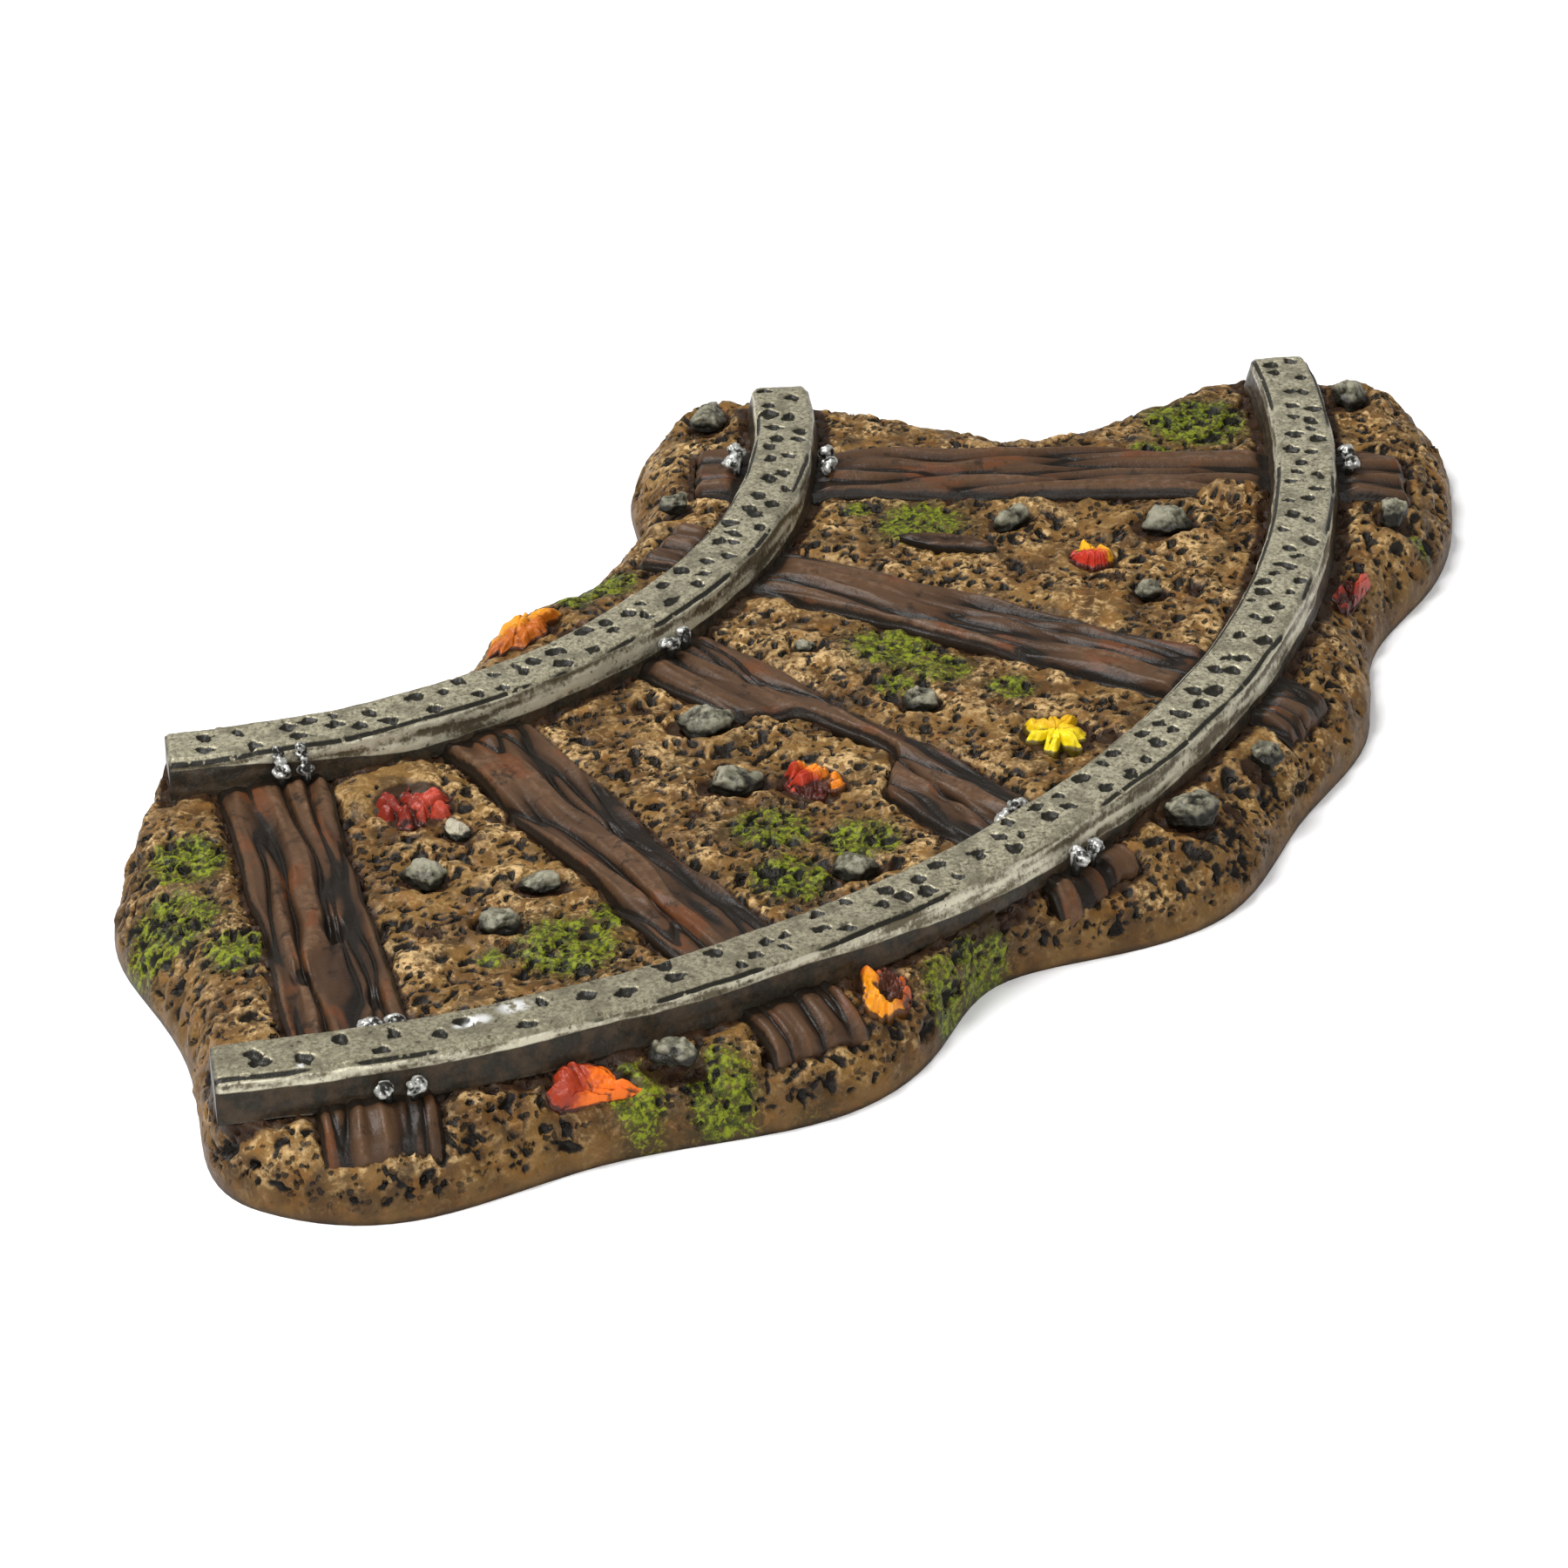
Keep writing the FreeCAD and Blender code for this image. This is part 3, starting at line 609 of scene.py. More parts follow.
# The hollows are sunk and painted black: partly wash, partly painted shade.
HOLLOWS = [                # black hollows: across, around, radius in mm
    (1.17, 0.07, 2.6), (1.16, 0.27, 2.4), (0.83, 0.47, 1.9), (0.88, 0.11, 2.6), (0.68, 0.47, 1.6),
    (0.30, 0.36, 1.8), (0.62, -0.74, 2.2), (0.33, -0.56, 1.6), (1.22, -0.02, 1.8), (0.5, -0.33, 1.6),
    (0.17, -0.20, 2.0), (0.93, -0.62, 2.2), (0.86, -0.25, 1.7), (0.93, 0.66, 2.2), (1.20, 0.80, 1.6)]
mounds = [(track_place(a, b), r * MM, h * MM) for a, b, r, h in SMOOTH_MOUNDS]
drifts = [(track_place(a, b), r * MM, h * MM) for a, b, r, h in DRIFTS]
moss_spots = [(track_place(a, b), MOSS_SPREAD * r * MM) for a, b, r in MOSS]
hollows = [(track_place(a, b), r * MM) for a, b, r in HOLLOWS]
print(f"{len(mounds)} mounds, {len(drifts)} drifts, {len(moss_spots)} patches of moss, {len(hollows)} hollows")

# %% [markdown]
# The bed was stippled with a brush or a tool while it was soft, which left two sizes of ragged pits.
# A pattern of cells gives one pit to a cell, the cells are bent by noise so that no pit is round, and
# a slow noise decides where the pits crowd and where they stay away.

# %% Pits
STRETCH = (0.72, 1.1, 1.1)                    # pits are longer than wide
BIG_PIT, SMALL_PIT = 1.9, 1.15                # the size of a cell in mm


def pit_cells(points, size, seed, low, high, crowd):
    """Round pits, one to a cell of about size millimetres; crowd (0 to 1) says how many are open."""
    scale = 1 / (size * MM)
    shift = Vector((31.7 * seed, 11.9 * seed, -7.7 * seed))
    depth = np.empty(len(points))
    for index, point in enumerate(points):
        distances, middles = noise.voronoi(Vector(point) * scale + shift)
        chance = math.sin(middles[0].dot(Vector((12.99, 78.23, 37.72)))) * 43758.5 % 1
        depth[index] = distances[0] if chance < crowd[index] else 1
    return smooth(depth, high, low)


def pit_depth(shape, calm):
    """Two sizes of pits as depths of 0 to 1; calm ground has none, and nor has the foot."""
    warp = np.column_stack([lumps(shape, 2.2, 2, seed) for seed in (11, 12, 13)]) * 0.75 * MM
    bent = (shape + warp) * STRETCH
    crowd = 0.45 + 0.6 * smooth(lumps(shape, 9, 2, 5), -0.4, 0.3) - 0.9 * calm
    crowd = crowd * smooth(shape[:, 2], 1.4 * MM, 3.2 * MM)
    big = pit_cells(bent, BIG_PIT, 1, 0.2, 0.48, 0.5 * crowd)
    little = pit_cells(bent, SMALL_PIT, 2, 0.18, 0.5, crowd)
    return np.maximum(0.9 * big, 0.65 * little)


print(f"pits in cells of {BIG_PIT} and {SMALL_PIT} mm")

# %% [markdown]
# Black wash ran down to the foot of every rail, tie, stone and leaf, and the black there is also
# painted shade.  The ground sinks there in a gutter, a groove or a ring, whose edge wanders with the
# noise, and the same numbers are kept as masks, so that the black paint lies where the shape is low.

# %% Gather the shape of the ground and its paint masks
def soft_spots(x, y, places, heart):
    """How much of a spot there is (0 to 1), and how high; heart is the share of it that is level."""
    cover, height = np.zeros(len(x)), np.zeros(len(x))
    for place, radius, rise in places:
        spot = smooth(np.hypot(x - place.x, y - place.y), radius, heart * radius)
        cover, height = np.maximum(cover, spot), np.maximum(height, rise * spot)
    return cover, height


def margins(x, y):
    """How far plan positions are outside the nearest rail, tie, stone and leaf."""
    ties = np.min([tie_margin(name, x, y) for name in TIE_NAMES], axis=0)
    stones = np.min([oval_margin(name, x, y) for name in STONE_NAMES], axis=0)
    leaves = np.min([oval_margin(name, x, y) for name in LEAF_NAMES], axis=0)
    return rail_margin(x, y), ties, stones, leaves


def sculpt(shape, steep):
    """How far each point of the ground is pushed, and its paint masks."""
    x, y, z = shape.T
    rails, ties, stones, leaves = margins(x, y)
    near = np.min([rails, ties, stones, leaves], axis=0)
    foot = smooth(z, 0.2 * MM, 2.5 * MM)
    deck = smooth(z, 4.6 * MM, 6.0 * MM)
    calm, raised = soft_spots(x, y, mounds, 0.4)
    drift = soft_spots(x, y, drifts, 0.5)[1]
    wide, medium, small = lumps(shape, 15, 2, 1), lumps(shape, 6, 2, 2), lumps(shape, 2.6, 3, 3)
    relief = (0.5 * wide + 0.4 * medium) * smooth(near, -0.5 * MM, 4 * MM) + 0.38 * small
    pits = pit_depth(shape, calm)
    ragged = 0.45 * MM * small
    gutter = smooth(rails + ragged, 2.3 * MM, 0.5 * MM) * deck
    groove = smooth(ties + ragged, 1.2 * MM, 0.1 * MM) * deck
    groove = groove * (1 - smooth(drift, 0.2 * MM, 0.8 * MM))
    ring = np.maximum(smooth(stones + ragged, 1.1 * MM, 0.1 * MM), smooth(leaves + ragged, 1.3 * MM, 0.0))
    ring = np.maximum(ring, smooth(blobs(x, y, hollows) + 0.5 * small, 0.45, 0.85)) * deck
    collar = smooth(stones, 3.4 * MM, 1.5 * MM) * smooth(stones, 0.3 * MM, 1.2 * MM) * deck
    push = (relief * MM + raised) * foot - pits * MM * foot
    push = push - (0.3 * gutter + 0.5 * groove + 0.45 * ring) * MM * foot
    push = push + drift + 0.45 * MM * collar * (0.6 + 0.8 * medium)
    cream = smooth(0.6 * small + 0.5 * medium + 0.2 * wide, 0.0, 0.45) * (1 - steep)
    masks = {"pit": pits, "gutter": gutter, "groove": np.maximum(groove, ring), "calm": calm,
             "cream": cream, "moss": blobs(x, y, moss_spots), "steep": steep,
             "foot": smooth(z, 0.1 * MM, 3.4 * MM)}
    return push, masks


amount, masks = sculpt(ground_shape, steepness)
print(f"the ground is pushed by {amount.min() / MM:.2f} to {amount.max() / MM:.2f} mm")

# %% [markdown]
# Every piece stands in a seat, as in the model.  Where a rail, tie, stone or leaf covers the ground,
# the ground is sunk to just below that piece, so nothing pokes through it from underneath.

# %% Push the ground about and cut the seats
def cut_seats(points):
    """Sink the ground under everything that stands in it, so that each piece fits into its seat."""
    x, y = points[:, 0], points[:, 1]
    seats = [(tie_margin(name, x, y), TIE_BOTTOM - 0.1 * MM, 0.25 * MM) for name in TIE_NAMES]
    seats.append((rail_margin(x, y), RAIL_BOTTOM - 0.1 * MM, 0.25 * MM))
    seats += [(oval_margin(name, x, y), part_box(name)[0].z - 0.1 * MM, 0.5 * MM) for name in STONE_NAMES]
    seats += [(oval_margin(name, x, y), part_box(name)[0].z - 0.1 * MM, 1.2 * MM) for name in LEAF_NAMES]
    for margin, floor, inset in seats:
        inside = smooth(margin, -inset, -inset - 0.45 * MM)
        points[:, 2] = np.minimum(points[:, 2], points[:, 2] * (1 - inside) + floor * inside)
    return points


sculpted = ground_shape + push * amount[:, None]
sculpted[:, 2] = np.maximum(sculpted[:, 2], 0)
top = ~wall
sculpted[top] = cut_seats(sculpted[top])
print("seats for", len(TIE_NAMES), "ties, 2 rails,", len(STONE_NAMES), "stones and", len(LEAF_NAMES), "leaves")

# %% [markdown]
# The bed now has far more faces than its flat parts need.  Decimate takes them out where they say
# least, keeps the pits sharp, and carries the masks along with the points.

# %% Thin the mesh where it is flat
GROUND_TRIANGLES = 190000


def thinned(mesh, triangles, name):
    """The mesh reduced to about so many triangles, keeping its detail."""
    carrier = bpy.data.objects.new(name, mesh)
    bpy.context.scene.collection.objects.link(carrier)
    now = sum(len(face.vertices) - 2 for face in mesh.polygons)
    reduce = carrier.modifiers.new("thin", "DECIMATE")
    reduce.ratio = min(1, triangles / now)
    result = bpy.data.meshes.new_from_object(carrier.evaluated_get(bpy.context.evaluated_depsgraph_get()))
    bpy.data.objects.remove(carrier)
    bpy.data.meshes.remove(mesh)
    return result


ground_mesh = as_mesh("ground", ground_bm, sculpted)
for mask, values in masks.items():
    layer = ground_mesh.attributes.new(mask, "FLOAT", "POINT")
    layer.data.foreach_set("value", np.ascontiguousarray(values, dtype=np.float32))
ground_mesh = thinned(ground_mesh, GROUND_TRIANGLES * QUALITY ** 2, "ground_full")
ground_mesh.shade_smooth()
print("masks kept after thinning:", [mask for mask in masks if mask in ground_mesh.attributes])

# %% [markdown]
# The earth is painted in the order a decorator would use: two browns in wide patches, a rusty tint,
# a cream dry brush on the ridges, a dark smudge, painted shade on the steep bank, strands of moss,
# black wash in the pits, black in the gutters and round the pieces as wash and painted shade, and last
# a dark line along the bottom edge.

# %% Earth colours
def earth_paint():
    p = Paint("earth")
    fine = p.noise(0.55, 3, 0.6)
    colour = p.layer(p.step(p.noise(6, 3), 0.38, 0.62), (0.088, 0.041, 0.01), (0.18, 0.096, 0.025))
    colour = p.layer(p.times(p.step(p.noise(2.6, 3), 0.5, 0.68), 0.7), colour, (0.2, 0.09, 0.019))
    ridge = p.step(p.noise(1.4, 3, 0.6, 0.8), 0.46, 0.64)
    dry = p.times(p.plus(p.mask("cream"), ridge), p.step(fine, 0.36, 0.6))
    dry = p.times(dry, p.plus(0.4, p.times(p.step(p.noise(9, 2), 0.42, 0.6), 0.6)))
    # Painted shade on the steep bank: it gets less of the cream and is darkened further, where it turns from
    # the light above.
    sheer = p.times(p.mask("steep"), p.mask("steep"))
    flatness = p.math("SUBTRACT", 1.0, p.times(sheer, 0.9))
    colour = p.layer(p.times(p.times(dry, flatness), 0.9), colour, (0.53, 0.355, 0.16))
    smudge = p.times(p.step(p.noise(4, 4, 0.65), 0.49, 0.64), p.plus(0.45, p.times(p.mask("foot"), 0.55)))
    colour = p.layer(p.times(smudge, 0.62), colour, (0.03, 0.018, 0.008))
    colour = p.layer(p.times(sheer, 0.45), colour, (0.05, 0.026, 0.008))
    green = p.layer(p.step(p.noise(0.7, 3, 0.7), 0.38, 0.62), (0.028, 0.04, 0.004), (0.19, 0.23, 0.008))
    strands = p.noise(0.9, 4, 0.7, 1.1)
    shaded = p.times(p.step(p.mask("moss"), 0.15, 0.7), p.step(strands, 0.56, 0.46))
    colour = p.layer(p.times(shaded, 0.7), colour, (0.028, 0.022, 0.006))
    moss = p.step(p.plus(p.times(p.mask("moss"), 0.62), strands), 0.99, 1.14)
    colour = p.layer(p.times(moss, 0.93), colour, green)
    small_pits = p.holes(0.85, 0.24, 0.42, p.warped(0.8, 0.9, (0.72, 1.1, 1.1)))
    open_ground = p.times(p.step(p.noise(5, 3), 0.36, 0.5), p.mask("foot"))
    small_pits = p.times(small_pits, p.times(open_ground, p.math("SUBTRACT", 1.0, p.mask("calm"))))
    pit = p.plus(p.times(p.mask("pit"), 1.6), p.times(p.step(fine, 0.35, 0.65), 0.25))
    pit = p.most(p.step(pit, 0.28, 0.72), p.times(small_pits, 0.9))
    colour = p.layer(p.times(pit, 0.97), colour, (0.006, 0.005, 0.004))
    # Black in the gutters along the rails and in the grooves and rings round the ties, stones, leaves and
    # hollows: partly wash, partly painted shade.
    low = p.most(p.mask("gutter"), p.mask("groove"))
    low = p.step(p.plus(low, p.times(p.noise(1.3, 3), 0.7)), 0.8, 1.2)
    reddish = p.layer(p.noise(1.8, 3), (0.005, 0.003, 0.002), (0.04, 0.016, 0.006))
    colour = p.layer(p.times(low, 0.94), colour, reddish)
    # A dark line along the bottom edge of the bank.
    line = p.step(p.plus(p.mask("foot"), p.times(p.noise(3, 3), 0.12)), 0.16, 0.02)
    colour = p.layer(p.times(line, 0.8), colour, (0.018, 0.012, 0.008))
    rough = p.plus(0.38, p.times(p.noise(2, 3), 0.2))
    height = p.plus(p.times(fine, 0.5), p.times(p.noise(0.28, 2), 0.25))
    height = p.plus(height, p.times(p.math("SUBTRACT", 1.0, small_pits), 1.3))
    return p.finish(colour, rough, height, 0.2, gloss=0.18)


piece("ground", ground_mesh, earth_paint(), ["ground_base"])
print("the bed has", len(ground_mesh.polygons), "faces")

# %% [markdown]
# ## Rails
# The rails stand for square bars of old iron.  On the casting they are broad, hand-cut ribs with a
# worn top, peppered with two rows of punched pits and brushed with silver over black.  A bent bar is
# easiest to think of as a sheet laid over the section, so each rail is a slab whose length runs
# round the bend and whose width runs up one side, over the top and down the other.

# %% The section of a rail
RAIL_HIGH = RAIL_TOP - RAIL_BOTTOM
HALF_HEAD = 3.2 * MM
SECTION = np.array([(-HALF_FOOT, 0), (-HALF_HEAD - 0.15 * MM, RAIL_HIGH - 1.3 * MM),
                    (-HALF_HEAD, RAIL_HIGH - 0.55 * MM), (-HALF_HEAD + 0.5 * MM, RAIL_HIGH - 0.05 * MM),
                    (0, RAIL_HIGH), (HALF_HEAD - 0.5 * MM, RAIL_HIGH - 0.05 * MM),
                    (HALF_HEAD, RAIL_HIGH - 0.55 * MM), (HALF_HEAD + 0.15 * MM, RAIL_HIGH - 1.3 * MM),
                    (HALF_FOOT, 0)])
print(f"a rail is {RAIL_HIGH / MM:.1f} mm high and {2 * HALF_FOOT / MM:.1f} mm wide at its foot")

# %% [markdown]
# The pits in a rail look cut one by one with a small tool, so each gets its own size, slant and
# place.  They follow two loose rows, and they are sparse where the outer rail begins.

# %% Pits in a rail
def diamond_pits(along, across, length, spacing, seed, sparse_start):
    """Two staggered rows of punched pits, as depths of 0 to 1."""
    chooser = random.Random(seed)
    depth = np.zeros(len(along))
    flat = np.column_stack((along, across, 0 * along))
    along = along + 0.45 * MM * lumps(flat, 1.2, 3, seed + 7)
    across = across + 0.45 * MM * lumps(flat, 1.2, 3, seed + 8)
    for row in (-1, 1):
        place = chooser.uniform(0.5, 1.5) * spacing
        while place < length - 0.8 * MM:
            side = row * 1.15 * MM + chooser.uniform(-0.85, 0.85) * MM
            wide = chooser.uniform(0.5, 1.05) * MM
            long = chooser.uniform(0.55, 1.15) * MM
            slant = chooser.uniform(-0.5, 0.5)
            close = np.abs(along - place) < 2.5 * MM
            a, b = along[close] - place, across[close] - side
            reach = (np.abs(a + slant * b) / long) ** 1.4 + (np.abs(b - slant * a) / wide) ** 1.4
            strength = chooser.uniform(0.65, 1.0)
            depth[close] = np.maximum(depth[close], strength * smooth(reach, 1.3, 0.6))
            sparse = 1.9 if sparse_start and place < 0.22 * length else 1.0
            place += spacing * sparse * chooser.uniform(0.55, 1.45)
    return depth


print("two rows of pits, about 3.7 mm apart")

# %% [markdown]
# The rest of a rail's wear is made the same way, each kind by a short function of the place on the
# rail: its eased ends, the cracks along its edges, the black iron low on its sides, which stops lower
# where a painted highlight runs along the front, and three daubs of white paint that were dropped on the
# outer one.

# %% Ends, cracks, iron and smears
END_ROUND = 2.4 * MM
WHITE_SMEARS = [           # along the rail, across it, and radius, in mm
    (24.5, 0.6, 1.2), (28.3, 1.4, 1.4), (22.8, 0.2, 0.7), (7.6, -2.2, 0.5)]


def ease_ends(along, across, high, length):
    """The section drawn in and down at the far end, and lowered a little at the near one."""
    from_far = np.clip((length - along) / END_ROUND, 0, 1)
    rounding = np.sqrt(np.clip(1 - (1 - from_far) ** 2, 0, 1))
    near_end = smooth(along, 0.5 * MM, 0)
    across = across * (0.78 + 0.22 * rounding)
    high = high - high / RAIL_HIGH * (1.3 * (1 - rounding) + 0.3 * near_end) * MM
    return across, high


def two_lines(along, across, apart):
    """Points for noise that differs between a rail's two sides but not up and down them."""
    return np.column_stack((along, np.sign(across) * apart * MM, 0 * along))


def edge_cracks(along, across, high, wander, seed):
    """Broken dark cracks just inside the top edges, 0 to 1."""
    off_line = np.abs(np.abs(across) - HALF_HEAD + 0.3 * MM - 0.6 * wander)
    edge = 1 - np.clip(off_line / (0.24 * MM), 0, 1)
    broken = smooth(lumps(two_lines(along, across, 3), 13, 3, seed + 4), -0.15, 0.15)
    return edge * broken * smooth(high, RAIL_HIGH - 1.0 * MM, RAIL_HIGH - 0.5 * MM)


def iron_side(across, high, degrees, wander, highlight_from):
    """Where a rail's side is left black, 0 to 1; along the front its outer side is silver further down, a
    painted highlight where it faces the camera and the front lamp.
    """
    facing = smooth(degrees, highlight_from, highlight_from + 14) * smooth(degrees, 30, 18) * (across < 0)
    dark_line = (1.45 + 1.6 * (1 - facing)) * MM + 0.9 * wander
    return smooth(high, dark_line + 0.3 * MM, dark_line - 0.3 * MM)


def white_smears(along, across):
    """Daubs of white paint on top of the outer rail, 0 to 1."""
    smear = np.zeros(len(along))
    for place, offset, size in WHITE_SMEARS:
        spot = np.hypot((along - place * MM) / 1.5, across - offset * MM)
        smear = np.maximum(smear, smooth(spot, size * MM, 0.3 * size * MM))
    return smear


print(len(WHITE_SMEARS), "daubs of white on the outer rail")

# %% [markdown]
# With the wear at hand, a rail is laid: the sheet is folded over the section, eased, sagged, pitted
# and cracked while it is still straight, and then bent round the centre of the curve.

# %% Lay a rail
def rail(name, radius, columns, rows, seed):
    """One rail with its pits, cracks and worn edges."""
    outer = radius == R_OUTER
    bm, u, v, t = slab(columns, rows, 1)
    run = np.concatenate(([0], np.cumsum(np.hypot(*np.diff(SECTION, axis=0).T))))
    at = v * run[-1]
    across, high = np.interp(at, run, SECTION[:, 0]), np.interp(at, run, SECTION[:, 1])
    length = 2 * HALF_TURN * radius
    along = u * length
    across, high = ease_ends(along, across, high, length)
    flat = np.column_stack((along, across, high))
    topness = smooth(high, RAIL_HIGH - 0.7 * MM, RAIL_HIGH - 0.2 * MM) * (1 - t)
    side = (1 - topness) * (1 - t)
    wander = 0.22 * MM * lumps(two_lines(along, across, 5), 13, 2, seed)
    across = across + wander * (np.abs(across) / HALF_FOOT)
    sag = 0.2 * lumps(flat * (1, 1, 0), 17, 2, seed + 1) + 0.09 * lumps(flat, 2.6, 3, seed + 2)
    streaks = lumps(flat * (0.12, 1, 1), 0.8, 2, seed + 3)
    pits = diamond_pits(along, across, length, 3.7 * MM, seed, outer) * topness
    crack = edge_cracks(along, across, high, wander, seed) * (1 - t)
    high = high + (sag * smooth(high, 0, 2.5 * MM) - 0.62 * pits - 0.3 * crack) * MM * (1 - t)
    out = (0.1 * streaks * side + 0.12 * side * lumps(flat, 3.2, 3, seed + 5)) * MM
    across = across + np.sign(across) * out
    high = high * (1 - t)
    angle = along / radius - HALF_TURN
    reach = radius - across
    points = np.column_stack((CENTRE.x + reach * np.sin(angle), CENTRE.y - reach * np.cos(angle),
                              RAIL_BOTTOM + high))
    degrees = np.degrees(angle)
    masks = {"pit": pits, "crack": crack, "top": topness, "streak": 0.5 + 0.5 * streaks,
             "low": iron_side(across, high, degrees, wander, -22 if outer else -39),
             "end": np.maximum(smooth(along, 0.35 * MM, 0.05 * MM), t),
             "smear": white_smears(along, across) if outer else np.zeros(len(u)),
             "tarnish": smooth(degrees, 5, -30) if outer else np.full(len(u), 0.35)}
    return piece(name, as_mesh(name, bm, points), pewter, [name], masks)


print("a rail is bent through", round(math.degrees(2 * HALF_TURN), 1), "degrees")

# %% [markdown]
# A worn rail is pewter grey on top and brighter along its sides, partly where a brush has caught them and
# partly as a painted highlight along the front.  It is black or brown along its foot, and black in every pit.
# Only the silver is a little metallic.

# %% Silver brushed over black
def pewter_paint():
    p = Paint("pewter")
    grain = p.noise(0.42, 3, 0.75)
    colour = p.layer(p.step(grain, 0.32, 0.66), (0.17, 0.151, 0.1), (0.5, 0.465, 0.33))
    colour = p.layer(p.times(p.mask("tarnish"), 0.42), colour, (0.13, 0.113, 0.07))
    colour = p.layer(p.times(p.step(p.noise(3, 3), 0.47, 0.66), 0.6), colour, (0.12, 0.108, 0.07))
    # The sides are silver-streaked: partly dry brush, partly a painted highlight that reaches further down on
    # the side facing the front.
    side = p.times(p.step(p.mask("top"), 0.7, 0.3), p.step(p.mask("low"), 0.8, 0.2))
    brushed = p.plus(p.times(p.mask("streak"), 0.8), p.times(p.noise(0.6, 3, 0.75), 0.7))
    silver_and_highlight = p.layer(p.step(brushed, 0.58, 0.92), (0.11, 0.09, 0.055), (0.55, 0.515, 0.39))
    colour = p.layer(side, colour, silver_and_highlight)
    under = p.step(p.plus(p.mask("low"), p.times(p.noise(1.2, 3), 0.35)), 0.55, 0.85)
    under = p.times(under, p.step(p.mask("top"), 0.5, 0.2))
    iron = p.layer(p.step(p.noise(1.8, 3), 0.4, 0.65), (0.008, 0.005, 0.003), (0.038, 0.02, 0.009))
    colour = p.layer(p.times(under, 0.94), colour, iron)
    chip = p.times(p.mask("crack"), p.step(p.noise(1.6, 3), 0.3, 0.42))
    dark = p.most(p.step(p.plus(p.mask("pit"), p.times(grain, 0.15)), 0.14, 0.34), p.step(chip, 0.1, 0.4))
    colour = p.layer(p.times(dark, 0.97), colour, (0.007, 0.006, 0.004))
    speck = p.step(p.noise(0.65, 2, 0.4), 0.64, 0.72)
    colour = p.layer(p.times(speck, 0.7), colour, (0.04, 0.034, 0.022))
    end = p.times(p.mask("end"), p.step(p.noise(1.5, 3), 0.2, 0.5))
    colour = p.layer(p.times(end, 0.93), colour, (0.022, 0.019, 0.014))
    white = p.times(p.mask("smear"), p.step(p.noise(0.9, 3), 0.42, 0.55))
    colour = p.layer(white, colour, (0.75, 0.75, 0.73))
    shine = p.times(p.math("SUBTRACT", 1.0, p.most(p.most(dark, under), end)), 0.4)
    height = p.plus(p.times(grain, 0.6), p.times(p.noise(0.25, 2), 0.4))
    return p.finish(colour, 0.38, height, 0.08, gloss=0.2, metallic=shine)


pewter = pewter_paint()
ROUND_SECTION = int(60 * QUALITY)              # cells from one foot over the top to the other
rail("rail_outer", R_OUTER, int(1000 * QUALITY), ROUND_SECTION, 5)
rail("rail_inner", R_INNER, int(570 * QUALITY), ROUND_SECTION, 9)
print("each rail has", ROUND_SECTION, "cells round its section")

# %% [markdown]
# ## Ties
# A tie is a plank hewn from a log: long ridges of grain that wander, part round knots and end in
# splinters.  Each is a slab whose grain is noise stretched about ten times along it.  Outside the
# rails the ties bow down with the bank, and under each rail a saddle is cut for it.

# %% How high the bare bank is at any place
def bank_height(x, y):
    """The height of the bare bank, before any sculpting."""
    found = [rim_tree.find((a, b, 0))[1:] for a, b in zip(x, y)]
    index, distance = np.array([f[0] for f in found]), np.array([f[1] for f in found])
    beyond = (x - rim_loop[index, 0]) * outwards[index, 0] + (y - rim_loop[index, 1]) * outwards[index, 1]
    inside = GROUND - rim_drop[index] * np.exp(-distance / ROUND_OVER)
    left = np.clip(1 - beyond / np.hypot(*lean[index].T), 0, 1) ** (1 / BANK_CURVE)
    return np.where(beyond > 0, (GROUND - rim_drop[index]) * left, inside)


def kept_on_bank(x, y, past=1.7 * MM):
    """Plan positions, with those beyond the rim drawn back to within about past of it."""
    index = np.array([rim_tree.find((a, b, 0))[1] for a, b in zip(x, y)])
    beyond = (x - rim_loop[index, 0]) * outwards[index, 0] + (y - rim_loop[index, 1]) * outwards[index, 1]
    beyond = np.clip(beyond, 0, None)
    back = beyond - past * (1 - np.exp(-beyond / past))
    return x - back * outwards[index, 0], y - back * outwards[index, 1]


between = bank_height(np.array([CENTRE.x]), np.array([CENTRE.y - (R_INNER + R_OUTER) / 2]))[0]
print(f"between the rails the bank is {between / MM:.1f} mm high")

# %% [markdown]
# Grain follows the tree: it runs along the plank, wanders, and parts round the knots.  Noise that is
# stretched along the plank gives the grain, and near a knot its lanes are pushed aside.  Splits, ends
# and the places beside the rails are cut lower, and that is where the black goes, partly as wash and
# partly as painted shade.

# %% Hew the planks
KNOTS = {        # along and across in mm, radius in mm, depth in mm
    "tie_1": [(4, 1.2, 2.6, 1.0), (12, -3.0, 2.4, 0.8), (17, 2.8, 2.2, 0.6)],
    "tie_2": [(-2, 1.6, 2.2, 0.5), (13, -2.0, 2.6, 0.5)],
    "tie_3": [(-14, 1.0, 2.0, 0.5), (16, -1.2, 2.4, 0.6)],
    "tie_4": [(6, 1.5, 2.2, 0.4)],
    "tie_5": [(-12, -1.0, 2.4, 0.5)]}


